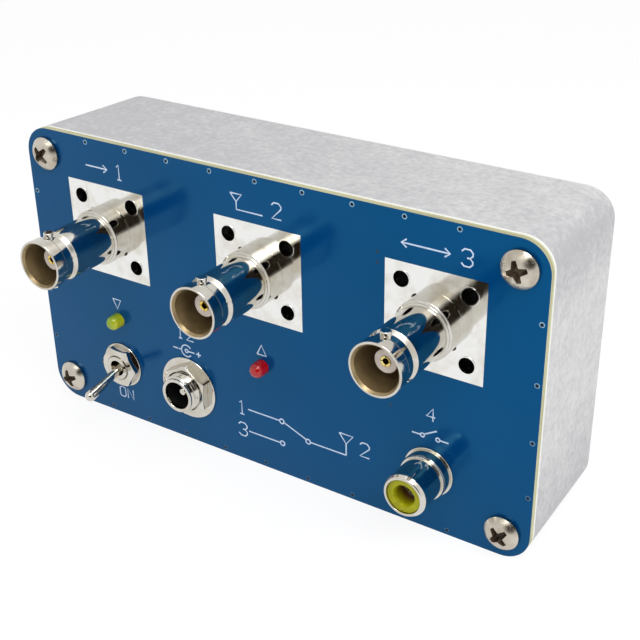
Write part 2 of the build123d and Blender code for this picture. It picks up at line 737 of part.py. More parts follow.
def dc_housing_profile():
    """Housing from its lip back: threaded bushing, flange behind the board, body."""
    thread_start = DC_BUSH_OUT - DC_LIP
    points = [
        (DC_LINER_R + FIT, DC_TAIL),
        (DC_BODY_R, DC_TAIL),
        (DC_BODY_R, BACK),
        (DC_BUSH_R, BACK),
        (DC_BUSH_R, DC_WASHER_T),
    ]
    turns = int((thread_start - DC_WASHER_T) / DC_THREAD_PITCH)
    for i in range(turns):
        low = DC_WASHER_T + i * DC_THREAD_PITCH
        points += [
            (DC_BUSH_R, low + DC_THREAD_PITCH * 0.25),
            (DC_BUSH_R - DC_THREAD_DEPTH, low + DC_THREAD_PITCH * 0.6),
            (DC_BUSH_R, low + DC_THREAD_PITCH * 0.95),
        ]
    points += [
        (DC_BUSH_R, thread_start),
        (DC_LIP_R, thread_start + DC_LIP * 0.5),
        (DC_LIP_R, DC_BUSH_OUT - DC_LIP * 0.2),
        (DC_LIP_R - DC_LIP * 0.2, DC_BUSH_OUT),
        (DC_MOUTH_R, DC_BUSH_OUT),
        (DC_MOUTH_R, DC_BUSH_OUT - DC_LIP),
        (DC_LINER_R + FIT, DC_BUSH_OUT - DC_LIP),
    ]
    return points


turned("dc_jack_housing", DC_X, ROW_Z, dc_housing_profile())
washer("dc_jack_washer", DC_X, ROW_Z, 0.0, DC_WASHER_R, DC_BUSH_R + FIT, DC_WASHER_T)
hex_nut("dc_jack_nut", DC_X, ROW_Z, DC_WASHER_T, DC_NUT_AF, DC_BUSH_R + FIT, DC_NUT_T, DC_NUT_TURN)

DC_SPRING_SLOT = DC_SPRING_W + 2 * DC_SPRING_SIDE
DC_SPRING_DROP = DC_MOUTH_R - DC_SPRING_LIFT     # how far the spring lies below the axis
with BuildPart() as dc_jack_liner:
    with BuildSketch(turning_plane(DC_X, ROW_Z)):
        with BuildLine():
            Polyline(
                (DC_PIN_R + FIT, DC_TAIL),
                (DC_LINER_R, DC_TAIL),
                (DC_LINER_R, DC_BUSH_OUT - DC_LIP - FIT),
                (DC_MOUTH_R, DC_BUSH_OUT - DC_LIP - FIT),
                (DC_MOUTH_R, DC_TAIL + DC_REAR_T),
                (DC_PIN_R + FIT, DC_TAIL + DC_REAR_T),
                close=True,
            )
        make_face()
    revolve(axis=outward_axis(DC_X, ROW_Z))
    with BuildSketch(face_plane(DC_TAIL)):
        with Locations((DC_X, ROW_Z - DC_LINER_R)):
            Rectangle(DC_SPRING_SLOT, 2 * (DC_LINER_R - DC_SPRING_DROP + DC_SPRING_T / 2 + FIT))
    extrude(amount=DC_BODY_BACK, mode=Mode.SUBTRACT)
save(dc_jack_liner, "dc_jack_liner")

with BuildPart() as dc_jack_pin:
    tip = DC_BUSH_OUT - DC_PIN_SETBACK
    with BuildSketch(turning_plane(DC_X, ROW_Z)):
        with BuildLine():
            Polyline(
                (0, DC_TAIL - LEG_REACH),
                (DC_PIN_R, DC_TAIL - LEG_REACH),
                (DC_PIN_R, tip - DC_PIN_R),
            )
            ThreePointArc(
                (DC_PIN_R, tip - DC_PIN_R),
                (DC_PIN_R * sin(radians(45)), tip - DC_PIN_R + DC_PIN_R * cos(radians(45))),
                (0, tip),
            )
            Line((0, tip), (0, DC_TAIL - LEG_REACH))
        make_face()
    revolve(axis=outward_axis(DC_X, ROW_Z))
save(dc_jack_pin, "dc_jack_pin")

with BuildPart() as dc_jack_spring:
    with BuildSketch(face_plane(DC_TAIL - DC_LUG_REACH)):
        with Locations((DC_X, ROW_Z - DC_SPRING_DROP)):
            Rectangle(DC_SPRING_W, DC_SPRING_T)
    extrude(amount=DC_LUG_REACH + DC_BODY_BACK - DC_SPRING_SETBACK)
save(dc_jack_spring, "dc_jack_spring")

DC_LUG_TOP = DC_PIN_R + DC_LUG_W
with BuildPart() as dc_jack_lug:
    with BuildSketch(face_plane(DC_TAIL)):
        with Locations((DC_X, ROW_Z)):
            Circle(DC_LUG_R)
        with Locations((DC_X, ROW_Z + DC_LUG_TOP / 2)):
            Rectangle(DC_LUG_W, DC_LUG_TOP)
        with Locations((DC_X, ROW_Z)):
            Circle(DC_PIN_R + FIT, mode=Mode.SUBTRACT)
    extrude(amount=-DC_LUG_T)
    with BuildSketch(face_plane(DC_TAIL)):
        with Locations((DC_X, ROW_Z + DC_LUG_TOP - DC_LUG_T / 2)):
            Rectangle(DC_LUG_W, DC_LUG_T)
    extrude(amount=-DC_LUG_REACH)
save(dc_jack_lug, "dc_jack_lug")

# ================================================================ RCA jack
RCA_FLANGE_OUT = RCA_WASHER_T + RCA_FLANGE_T
RCA_FACE = RCA_OUT - RCA_INSERT_SETBACK
RCA_SEAT = RCA_FACE - RCA_INSERT_DEPTH
RCA_TAIL = BACK - RCA_TAIL_BACK

with BuildPart() as rca_jack_shell:
    edge_arc = RCA_FLANGE_EDGE * (1 - cos(radians(45)))
    with BuildSketch(turning_plane(RCA_X, ROW_Z)):
        with BuildLine():
            Polyline(
                (RCA_INSERT_R + FIT, RCA_OUT),
                (RCA_INSERT_R + FIT, RCA_SEAT),
                (RCA_CONTACT_R + RCA_CONTACT_GAP, RCA_SEAT),
                (RCA_CONTACT_R + RCA_CONTACT_GAP, RCA_TAIL),
                (RCA_TAIL_R, RCA_TAIL),
                (RCA_TAIL_R, RCA_WASHER_T),
                (RCA_FLANGE_R, RCA_WASHER_T),
                (RCA_FLANGE_R, RCA_FLANGE_OUT - RCA_FLANGE_EDGE),
            )
            ThreePointArc(
                (RCA_FLANGE_R, RCA_FLANGE_OUT - RCA_FLANGE_EDGE),
                (RCA_FLANGE_R - edge_arc, RCA_FLANGE_OUT - edge_arc),
                (RCA_FLANGE_R - RCA_FLANGE_EDGE, RCA_FLANGE_OUT),
            )
            Polyline(
                (RCA_FLANGE_R - RCA_FLANGE_EDGE, RCA_FLANGE_OUT),
                (RCA_NECK_R, RCA_FLANGE_OUT),
                (RCA_NECK_R, RCA_OUT - RCA_NECK_SETBACK),
                (RCA_R, RCA_OUT - RCA_NECK_SETBACK + (RCA_R - RCA_NECK_R)),
                (RCA_R, RCA_OUT - RCA_LIP_L),
            )
            TangentArc((RCA_R, RCA_OUT - RCA_LIP_L), (RCA_FACE_R, RCA_OUT), tangent=(0, 1))
            Line((RCA_FACE_R, RCA_OUT), (RCA_INSERT_R + FIT, RCA_OUT))
        make_face()
    revolve(axis=outward_axis(RCA_X, ROW_Z))
save(rca_jack_shell, "rca_jack_shell")

washer("rca_jack_washer", RCA_X, ROW_Z, 0.0, RCA_WASHER_R, RCA_TAIL_R + FIT, RCA_WASHER_T)

turned("rca_jack_insert", RCA_X, ROW_Z, (
    (RCA_CONTACT_R + FIT, RCA_SEAT),
    (RCA_INSERT_R, RCA_SEAT),
    (RCA_INSERT_R, RCA_FACE),
    (RCA_HOLE_MOUTH_R, RCA_FACE),
    (RCA_HOLE_R, RCA_FACE - RCA_HOLE_MOUTH_DEPTH),
    (RCA_HOLE_R, RCA_FACE - RCA_HOLE_DEPTH),
    (RCA_CONTACT_R + FIT, RCA_FACE - RCA_HOLE_DEPTH),
))

RCA_HOLE_FLOOR = RCA_FACE - RCA_HOLE_DEPTH
RCA_SLEEVE_END = RCA_FACE - RCA_SLEEVE_SETBACK
turned("rca_jack_contact", RCA_X, ROW_Z, (
    (0, RCA_TAIL - RCA_CONTACT_BACK),
    (RCA_CONTACT_R, RCA_TAIL - RCA_CONTACT_BACK),
    (RCA_CONTACT_R, RCA_HOLE_FLOOR),
    (RCA_HOLE_R - FIT, RCA_HOLE_FLOOR),
    (RCA_HOLE_R - FIT, RCA_SLEEVE_END),
    (RCA_SLEEVE_R, RCA_SLEEVE_END),
    (RCA_SLEEVE_R, RCA_HOLE_FLOOR + RCA_LUG_T),
    (0, RCA_HOLE_FLOOR + RCA_LUG_T),
))

with BuildPart() as rca_ground_lug:
    with BuildSketch(face_plane(BACK)):
        with Locations((RCA_X, ROW_Z)):
            Circle(RCA_LUG_R)
        with Locations((RCA_X + RCA_LUG_LENGTH / 2, ROW_Z)):
            Rectangle(RCA_LUG_LENGTH, RCA_LUG_W)
        with Locations((RCA_X, ROW_Z)):
            Circle(RCA_TAIL_R + FIT, mode=Mode.SUBTRACT)
    extrude(amount=-RCA_LUG_T)
save(rca_ground_lug, "rca_ground_lug")

RCA_NUT_BACK = BACK - RCA_LUG_T - RCA_NUT_T
hex_nut("rca_jack_nut", RCA_X, ROW_Z, RCA_NUT_BACK, RCA_NUT_AF, RCA_TAIL_R + FIT, RCA_NUT_T, 0)

# ================================================================ lamps
LAMP_FOOT = BACK - LAMP_FLANGE_T
for label, x in zip(("receive", "transmit"), LAMP_XS):
    with BuildPart() as lamp:
        shoulder = LAMP_OUT - LAMP_R
        with BuildSketch(turning_plane(x, LAMP_Z)):
            with BuildLine():
                Polyline(
                    (0, LAMP_FOOT),
                    (LAMP_FLANGE_R, LAMP_FOOT),
                    (LAMP_FLANGE_R, BACK),
                    (LAMP_R, BACK),
                    (LAMP_R, shoulder),
                )
                ThreePointArc(
                    (LAMP_R, shoulder),
                    (LAMP_R * sin(radians(45)), shoulder + LAMP_R * cos(radians(45))),
                    (0, LAMP_OUT),
                )
                Line((0, LAMP_OUT), (0, LAMP_FOOT))
            make_face()
        revolve(axis=outward_axis(x, LAMP_Z))
    save(lamp, f"{label}_lamp")

with BuildPart() as lamp_leads:
    for x in LAMP_XS:
        for side in (-1, 1):
            start_x = x + side * LEAD_PITCH / 2
            end_x = x + side * (LAMP_FLANGE_R + LEAD_SPAN)
            y_foot = FRONT_Y - LAMP_FOOT
            y_bend = y_foot + LEAD_DROP
            y_board = FRONT_Y - BACK
            with BuildLine() as path:
                FilletPolyline(
                    (start_x, y_foot, LAMP_Z),
                    (start_x, y_bend, LAMP_Z),
                    (end_x, y_bend, LAMP_Z),
                    (end_x, y_board, LAMP_Z),
                    radius=LEAD_BEND,
                )
            with BuildSketch(Plane(origin=(start_x, y_foot, LAMP_Z), z_dir=(0, 1, 0))):
                Circle(LEAD_R)
            sweep(path=path.wire())
save(lamp_leads, "lamp_leads")

# ================================================================ relays
RELAY_COIL_L = RELAY_L - RELAY_ENDS
RELAY_SEAT = BACK - RELAY_BASE_T                       # depth of the base's rear face
RELAY_CORE = RELAY_SEAT - RELAY_COIL_R - RELAY_WALL    # depth of the coil's axis
RELAY_YOKE = RELAY_CORE - RELAY_COIL_R - FIT           # depth of the yoke's near face
RELAY_HEEL_Z = RELAY_Z - RELAY_COIL_L / 2 - RELAY_WALL
RELAY_POLE_Z = RELAY_Z + RELAY_COIL_L / 2 + RELAY_WALL
RELAY_HINGE_Z = RELAY_POLE_Z + RELAY_POLE_GAP + RELAY_IRON_T / 2
RELAY_HINGE = RELAY_YOKE - RELAY_IRON_T / 2            # depth of the armature's hinge
RELAY_POST = RELAY_SEAT - RELAY_POST_H
RELAY_TONGUE = RELAY_POST + RELAY_TONGUE_OVER
RELAY_STROKE = (RELAY_POST - RELAY_HINGE) * sin(radians(RELAY_TRAVEL))   # at the posts' ends
RELAY_POST_ZS = (
    RELAY_HINGE_Z + RELAY_IRON_T / 2 + RELAY_CONTACT_GAP + RELAY_POST_T / 2,
    RELAY_HINGE_Z - RELAY_IRON_T / 2 - RELAY_STROKE - 2 * RELAY_CONTACT_GAP - RELAY_POST_T / 2,
)


def relay(number, x):
    """One signal relay on the board's back, its coil upright along Z."""
    with BuildPart() as base:
        with BuildSketch(face_plane(BACK)):
            with Locations((x, RELAY_Z)):
                Rectangle(RELAY_W, RELAY_L)
            with Locations(*[(x, z) for z in RELAY_POST_ZS]):
                Rectangle(RELAY_POST_W + 2 * FIT, RELAY_POST_T + 2 * FIT, mode=Mode.SUBTRACT)
        extrude(amount=-RELAY_BASE_T)
        with BuildSketch(face_plane(RELAY_SEAT)):
            with Locations((x, RELAY_HEEL_Z - RELAY_IRON_T / 2)):
                Rectangle(RELAY_IRON_W, RELAY_IRON_T)
        extrude(amount=-RELAY_WALL)
    save(base, f"relay_{number}_base")

    with BuildPart() as cover:
        with BuildSketch(face_plane(RELAY_SEAT)):
            with Locations((x, RELAY_Z)):
                RectangleRounded(RELAY_W, RELAY_L, RELAY_WALL)
        extrude(amount=-RELAY_COVER_D)
        with BuildSketch(face_plane(RELAY_SEAT)):
            with Locations((x, RELAY_Z)):
                Rectangle(RELAY_W - 2 * RELAY_WALL, RELAY_L - 2 * RELAY_WALL)
        extrude(amount=-(RELAY_COVER_D - RELAY_WALL), mode=Mode.SUBTRACT)
    save(cover, f"relay_{number}_cover")

    with BuildPart() as coil:
        with BuildSketch(Plane(origin=(x, FRONT_Y - RELAY_CORE, RELAY_Z - RELAY_COIL_L / 2))):
            Circle(RELAY_COIL_R)
            Circle(RELAY_CORE_R + FIT, mode=Mode.SUBTRACT)
        extrude(amount=RELAY_COIL_L)
    save(coil, f"relay_{number}_coil")

    long_leg = RELAY_POLE_Z - RELAY_HEEL_Z
    ear_l = RELAY_HINGE_Z + RELAY_IRON_T / 2 - RELAY_POLE_Z
    hinge_plane = Plane(origin=(x - RELAY_IRON_W / 2, FRONT_Y - RELAY_HINGE, RELAY_HINGE_Z), z_dir=(1, 0, 0))
    with BuildPart() as yoke:
        with BuildSketch(Plane(origin=(x, FRONT_Y - RELAY_CORE, RELAY_HEEL_Z))):
            Circle(RELAY_CORE_R)
        extrude(amount=long_leg)
        with BuildSketch(face_plane(RELAY_SEAT - RELAY_WALL)):
            with Locations((x, RELAY_HEEL_Z - RELAY_IRON_T / 2)):
                Rectangle(RELAY_IRON_W, RELAY_IRON_T)
        extrude(amount=RELAY_YOKE - RELAY_IRON_T - RELAY_SEAT + RELAY_WALL)
        with BuildSketch(face_plane(RELAY_YOKE)):
            with Locations((x, RELAY_HEEL_Z + long_leg / 2)):
                Rectangle(RELAY_IRON_W, long_leg)
            with Locations((x, RELAY_POLE_Z + ear_l / 2)):
                with GridLocations(RELAY_IRON_W - RELAY_EAR_W, 1, 2, 1):
                    Rectangle(RELAY_EAR_W, ear_l)
        extrude(amount=-RELAY_IRON_T)
        with BuildSketch(hinge_plane):
            Circle(RELAY_HINGE_R + RUN)
        extrude(amount=RELAY_IRON_W, mode=Mode.SUBTRACT)
    save(yoke, f"relay_{number}_yoke")

    plate_end = RELAY_YOKE + 2 * RELAY_CONTACT_GAP
    with BuildPart() as armature:
        with BuildSketch(hinge_plane):
            Circle(RELAY_HINGE_R)
        extrude(amount=RELAY_IRON_W)
        for low, high, width in (
            (RELAY_HINGE - RELAY_HINGE_R, plate_end, RELAY_IRON_W - 2 * (RELAY_EAR_W + 2 * RUN)),
            (plate_end, RELAY_CORE + RELAY_CORE_R, RELAY_IRON_W),
            (RELAY_CORE + RELAY_CORE_R, RELAY_TONGUE, RELAY_TONGUE_W),
        ):
            with BuildSketch(face_plane(low)):
                with Locations((x, RELAY_HINGE_Z)):
                    Rectangle(width, RELAY_IRON_T)
            extrude(amount=high - low)
    save(armature, f"relay_{number}_armature")


for number, x in enumerate(RELAY_XS, start=1):
    relay(number, x)

with BuildPart() as relay_contacts:
    with BuildSketch(face_plane(BACK)):
        with Locations(*[(x, z) for x in RELAY_XS for z in RELAY_POST_ZS]):
            Rectangle(RELAY_POST_W, RELAY_POST_T)
    extrude(amount=RELAY_POST - BACK)
save(relay_contacts, "relay_contacts")

RELAY_PIN_ROWS = int(RELAY_L / RELAY_PIN_PITCH)
with BuildPart() as relay_pins:
    with BuildSketch(face_plane(BACK)):
        for x in RELAY_XS:
            with Locations((x, RELAY_Z)):
                with GridLocations(RELAY_W + RELAY_PIN_OUT, RELAY_PIN_PITCH, 2, RELAY_PIN_ROWS):
                    Rectangle(RELAY_PIN_OUT, RELAY_PIN_W)
    extrude(amount=-RELAY_PIN_T)
save(relay_pins, "relay_pins")

# ================================================================ parts on the board's back
with BuildPart() as voltage_regulator:
    with BuildSketch(face_plane(BACK)):
        with Locations((REGULATOR_X, ROW_Z)):
            Rectangle(REGULATOR_W, REGULATOR_L)
    extrude(amount=-REGULATOR_T)
    with BuildSketch(face_plane(BACK)):
        with Locations((REGULATOR_X, ROW_Z + REGULATOR_L / 2 + TAB_L / 2)):
            Rectangle(TAB_W, TAB_L)
        with Locations((REGULATOR_X, ROW_Z - REGULATOR_L / 2 - TERMINAL_OUT / 2)):
            with GridLocations(TERMINAL_PITCH, 1, 2, 1):
                Rectangle(TERMINAL_W, TERMINAL_OUT)
    extrude(amount=-TAB_T)
save(voltage_regulator, "voltage_regulator")

with BuildPart() as filter_capacitor:
    with BuildSketch(face_plane(BACK)):
        with Locations((CAP_X, ROW_Z)):
            Rectangle(CAP_BASE, CAP_BASE)
    extrude(amount=-CAP_BASE_T)
    with BuildSketch(face_plane(BACK - CAP_BASE_T)):
        with Locations((CAP_X, ROW_Z)):
            Circle(CAP_R)
    extrude(amount=-CAP_H)
save(filter_capacitor, "filter_capacitor")


def board_chips(name, points, length, width, thickness):
    """Small bodies soldered flat on the board's back, long side along X."""
    with BuildPart() as chips:
        with BuildSketch(face_plane(BACK)):
            with Locations(*points):
                Rectangle(length, width)
        extrude(amount=-thickness)
    save(chips, name)


DRIVER_Z = (ROW_Z + LAMP_Z) / 2 + CHIP_ROW_PITCH
board_chips(
    "diodes",
    [(x, DRIVER_Z + CHIP_ROW_PITCH) for x in (RELAY_XS[0], RELAY_XS[1], RCA_X)],
    DIODE_L, DIODE_W, DIODE_T,
)
board_chips(
    "transistors",
    [(x + DIODE_L + TRANSISTOR_L / 2, DRIVER_Z + CHIP_ROW_PITCH) for x in RELAY_XS],
    TRANSISTOR_L, TRANSISTOR_W, TRANSISTOR_T,
)
board_chips(
    "chip_resistors",
    [
        (RCA_X - RESISTOR_ROW_START + i * CHIP_ROW_PITCH, DRIVER_Z)
        for i in range(int(RESISTOR_ROW_L / CHIP_ROW_PITCH) + 1)
    ],
    CHIP_L, CHIP_W, CHIP_T,
)
board_chips(
    "chip_capacitors",
    [(x, JACK_Z + side * FLANGE_HOLE_PITCH / 2) for _, x in JACKS for side in (-1, 1)],
    CHIP_L, CHIP_W, CHIP_CAPACITOR_T,
)


# ================================================================ wires
def save_wires(name, routes):
    """Round insulated wires, each through its (x, depth, z) points with equal bends."""
    with BuildPart() as wires:
        for points in routes:
            with BuildLine() as path:
                FilletPolyline(*[(x, FRONT_Y - depth, z) for x, depth, z in points], radius=WIRE_BEND)
            route = path.wire()
            with BuildSketch(Plane(origin=route @ 0, z_dir=route % 0)):
                Circle(WIRE_R)
            sweep(path=route)
    save(wires, name)


def wire_to_board(x, depth, z, landing):
    """Route from a terminal, along X to the landing and forward to the board's back."""
    return (x, depth, z), (landing, depth, z), (landing, BACK, z)


TOG_TERMINAL_MID = TOG_CASE_BACK - TOG_TERMINAL_REACH / 2
TOG_TERMINAL_SIDE = TOG_X - TOG_TERMINAL_W / 2
save_wires("toggle_wires", [
    wire_to_board(TOG_TERMINAL_SIDE, TOG_TERMINAL_MID, ROW_Z, TOG_TERMINAL_SIDE - WIRE_RUN),
    wire_to_board(
        TOG_TERMINAL_SIDE, TOG_TERMINAL_MID, ROW_Z + TOG_TERMINAL_PITCH, TOG_TERMINAL_SIDE - WIRE_LONG_RUN
    ),
])

DC_LUG_MID = DC_TAIL - DC_LUG_REACH / 2
DC_LANDING = DC_X + DC_BODY_R + WIRE_RUN / 2
save_wires("dc_jack_wires", [
    wire_to_board(DC_X + DC_LUG_W / 2, DC_LUG_MID, ROW_Z + DC_LUG_TOP - DC_LUG_T / 2, DC_LANDING),
    wire_to_board(DC_X + DC_SPRING_W / 2, DC_LUG_MID, ROW_Z - DC_SPRING_DROP, DC_LANDING),
])

save_wires("rca_jack_wires", [
    wire_to_board(
        RCA_X - RCA_CONTACT_R, RCA_TAIL - RCA_CONTACT_BACK / 2, ROW_Z, RCA_X - RCA_NUT_AF / 2 - WIRE_RUN
    ),
])
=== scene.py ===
import json
from math import asin, cos, pi, radians, sin, tan

import bmesh
import bpy
from mathutils import Matrix, Vector


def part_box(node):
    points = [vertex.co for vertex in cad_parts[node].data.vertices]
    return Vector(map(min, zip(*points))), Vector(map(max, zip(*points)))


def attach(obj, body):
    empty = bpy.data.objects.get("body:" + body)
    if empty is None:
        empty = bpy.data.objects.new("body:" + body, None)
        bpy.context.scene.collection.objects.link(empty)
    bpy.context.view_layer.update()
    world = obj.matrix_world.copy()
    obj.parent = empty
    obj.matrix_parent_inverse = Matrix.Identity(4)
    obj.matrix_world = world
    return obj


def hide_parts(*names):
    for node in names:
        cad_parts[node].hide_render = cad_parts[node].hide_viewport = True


# Coaxial antenna switch. Sizes are in millimetres and are turned into metres by MM.
# A "depth" is a distance outward from the panel's front face, negative behind it.

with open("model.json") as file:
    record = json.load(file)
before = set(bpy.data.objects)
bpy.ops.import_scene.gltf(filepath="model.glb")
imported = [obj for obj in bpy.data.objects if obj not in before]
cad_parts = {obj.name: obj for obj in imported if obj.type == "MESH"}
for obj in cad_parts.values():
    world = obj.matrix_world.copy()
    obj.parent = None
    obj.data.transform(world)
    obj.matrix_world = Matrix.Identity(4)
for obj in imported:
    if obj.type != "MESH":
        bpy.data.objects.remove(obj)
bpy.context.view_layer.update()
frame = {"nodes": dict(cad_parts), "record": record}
NODES = frame["nodes"]
MM = 0.001

# ------------------------------------------------------------------ places read from the frame
PANEL_LOW, PANEL_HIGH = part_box("front_panel")
CASE_LOW, CASE_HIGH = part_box("enclosure")
FRONT = PANEL_LOW.y / MM    # Y of the panel's front face
BACK = (PANEL_LOW.y - PANEL_HIGH.y) / MM    # depth of its back face


def centre_of(node):
    """X and Z of a node's middle, in millimetres."""
    low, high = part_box(node)
    return (low.x + high.x) / 2 / MM, (low.z + high.z) / 2 / MM


def reach_of(node):
    """Depth of a node's front end."""
    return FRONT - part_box(node)[0].y / MM


def root_of(node):
    """Depth of a node's back end."""
    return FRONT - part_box(node)[1].y / MM


def radius_of(node):
    low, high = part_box(node)
    return (high.x - low.x) / 2 / MM


# ------------------------------------------------------------------ sizes that several pieces share
HEAD_R = 3.3    # radius of a lid screw's head
FLANGE_HOLE = 6.35    # from a coaxial jack's middle to its flange holes, along X and along Z
JACK_LEG = 3.5    # the same, to its solder legs
TAIL = BACK - 1.2    # depth where a coaxial jack's legs and contact end
TOGGLE_BORE = 2.53    # radius inside the toggle's washer and nut
DC_BORE = 4.03    # the same, for the DC jack's
NUT_BEVEL = 0.1    # width of the worn band along a nut's upper edges
SMALL_VIAS = ((25.0, 52.2), (25.0, 50.25), (27.95, 23.4))    # X and Z of each

# ------------------------------------------------------------------ colours, sRGB 0 to 255
MASK = (0, 62, 116)
MASK_DEEP = (0, 57, 109)
MASK_SHEEN = (0.05, 0.75, 1.0, 1.0)    # linear: the tint of the mask's reflections
# colour of the edge-hole rings where their painted light is full
RING_PALE = (150, 186, 206)
# HOLE and HOLE_DEEP: painted shade for the inside of holes
HOLE = (12, 38, 62)
HOLE_DEEP = (8, 26, 44)
BOARD_EDGE = (198, 195, 156)
BOARD_EDGE_DARK = (166, 160, 122)
# the back of the board's edge, a painted highlight
BOARD_EDGE_HIGHLIGHT = (240, 237, 226)
INK = (206, 220, 238)
INK_THIN = (186, 204, 228)
CASTING = (210, 210, 208)
CASTING_DARK = (180, 180, 182)
# the casting's rim at the board, a painted highlight
CASTING_RIM_HIGHLIGHT = (242, 240, 234)
NICKEL = (208, 205, 197)
# nickel painted darker and browner as shade inside a jack's bore
NICKEL_WARM = (192, 184, 168)
BORE_SHADE = (158, 138, 100)
BORE_SHADE_DARK = (128, 108, 74)
SCREW = (204, 197, 184)
SCREW_DARK = (158, 146, 128)
# painted shade inside the screws' cross recesses
RECESS_SHADE = (84, 70, 54)
RECESS_SHADE_DARK = (44, 34, 24)
TIN = (234, 234, 231)
TIN_WARM = (216, 212, 202)
GOLD = (232, 200, 96)
GOLD_PALE = (226, 214, 150)
DIELECTRIC = (226, 216, 206)
DIELECTRIC_DULL = (212, 200, 188)
BLACK = (14, 14, 15)
BLACK_WORN = (22, 22, 22)
INSERT = (166, 166, 4)
INSERT_DEEP = (140, 138, 2)
INSERT_SHADE = (96, 52, 6)
LENS_GREEN = (120, 164, 24)
# LENS_GREEN_LIT and LENS_RED_LIT: painted light in the lenses
LENS_GREEN_LIT = (214, 214, 20)
LENS_RED = (172, 8, 14)
LENS_RED_LIT = (196, 10, 16)
RELAY_BODY = (196, 196, 188)
RELAY_DULL = (184, 184, 176)
COPPER = (184, 100, 60)
COPPER_DARK = (150, 74, 40)
STEEL = (160, 160, 160)
CHIP_BROWN = (150, 118, 86)
CHIP_DARK = (134, 104, 74)
WIRE_RED = (150, 20, 16)
WIRE_RED_DARK = (130, 16, 12)
WIRE_BLACK_WORN = (24, 24, 24)
FLOOR = (248, 248, 249)
FLOOR_COOL = (245, 245, 247)


def linear(rgb):
    """sRGB 0 to 255 as a linear colour with alpha."""
    out = []
    for value in rgb:
        c = value / 255
        out.append(c / 12.92 if c <= 0.04045 else ((c + 0.055) / 1.055) ** 2.4)
    return (*out, 1.0)


# ------------------------------------------------------------------ node helpers
COLOUR_A, COLOUR_B, COLOUR_MIXED = 6, 7, 2    # a mix node's colour sockets: its inputs and its output
SMOOTH = {"interpolation_type": "SMOOTHSTEP"}


class Tree:
    """A node tree with short ways to add the usual nodes."""

    def __init__(self, tree, coordinates):
        self.tree = tree
        self.place = self.node("ShaderNodeTexCoord").outputs[coordinates]

    def feed(self, value, socket):
        """Give a socket a number, a tuple of numbers or another node's output."""
        if isinstance(value, (int, float, tuple)):
            socket.default_value = value
        else:
            self.tree.links.new(value, socket)

    def node(self, kind, inputs=None, **settings):
        """A new node, with what goes into its inputs by their names or numbers."""
        made = self.tree.nodes.new(kind)
        for key, value in settings.items():
            setattr(made, key, value)
        for key, value in (inputs or {}).items():
            self.feed(value, made.inputs[key])
        return made

    def noise(self, scale, detail, roughness=0.5, place=None):
        inputs = {"Scale": scale, "Detail": detail, "Roughness": roughness, "Vector": place or self.place}
        return self.node("ShaderNodeTexNoise", inputs).outputs["Fac"]

    def stretch(self, x, y, z):
        """The place, scaled along each axis."""
        return self.node("ShaderNodeMapping", {"Scale": (x, y, z), "Vector": self.place}).outputs["Vector"]

    def axis(self, letter):
        return self.node("ShaderNodeSeparateXYZ", {"Vector": self.place}).outputs[letter]

    def dot(self, direction):
        """How far the place lies along a direction."""
        inputs = {0: self.place, 1: direction}
        return self.node("ShaderNodeVectorMath", inputs, operation="DOT_PRODUCT").outputs["Value"]

    def remap(self, value, low, high, to_low=0.0, to_high=1.0, **settings):
        inputs = {"Value": value, "From Min": low, "From Max": high, "To Min": to_low, "To Max": to_high}
        return self.node("ShaderNodeMapRange", inputs, **settings).outputs["Result"]

    def math(self, operation, a, b=0.0):
        return self.node("ShaderNodeMath", {0: a, 1: b}, operation=operation).outputs["Value"]

    def mix(self, factor, a, b):
        """Mix of two colours, each an sRGB triple, a linear colour with alpha or an output."""
        a, b = (linear(c) if isinstance(c, tuple) and len(c) == 3 else c for c in (a, b))
        inputs = {"Factor": factor, COLOUR_A: a, COLOUR_B: b}
        return self.node("ShaderNodeMix", inputs, data_type="RGBA").outputs[COLOUR_MIXED]


class Shader(Tree):
    """A new material's node tree."""

    def __init__(self, name):
        self.material = bpy.data.materials.new(name)
        self.material.use_nodes = True
        super().__init__(self.material.node_tree, "Object")
        self.bsdf = self.tree.nodes["Principled BSDF"]

    def set(self, **values):
        for key, value in values.items():
            self.bsdf.inputs[key.replace("_", " ")].default_value = value

    def colour(self, output):
        self.feed(output, self.bsdf.inputs["Base Color"])

    def roughness(self, output):
        self.feed(output, self.bsdf.inputs["Roughness"])

    def bump(self, height, strength, distance):
        inputs = {"Strength": strength, "Distance": distance * MM, "Height": height}
        self.feed(self.node("ShaderNodeBump", inputs).outputs["Normal"], self.bsdf.inputs["Normal"])


# ------------------------------------------------------------------ materials
def metal(name, colour, worn, rough_low, rough_high, metallic=1.0):
    """Plated or plain metal: fine grain, patches of duller plate and a slight unevenness."""
    s = Shader(name)
    s.set(Metallic=metallic)
    s.colour(s.mix(s.remap(s.noise(260.0, 4.0), 0.4, 0.75), colour, worn))
    s.roughness(s.remap(s.noise(900.0, 3.0), 0.3, 0.7, rough_low, rough_high))
    s.bump(s.noise(1800.0, 2.0), 0.04, 0.02)
    return s.material


def moulded(s, colour, other, rough):
    """Put a moulding's fine texture and gloss on a shader, and return its mottled colour."""
    s.roughness(s.remap(s.noise(1500.0, 2.0), 0.3, 0.7, rough - 0.05, rough + 0.05))
    s.bump(s.noise(2000.0, 2.0), 0.08, 0.02)
    return s.mix(s.remap(s.noise(500.0, 4.0), 0.35, 0.65), colour, other)


def plastic(name, colour, other, rough):
    """Moulded plastic: faint mottling, a fine moulded texture and an even gloss."""
    s = Shader(name)
    s.colour(moulded(s, colour, other, rough))
    return s.material


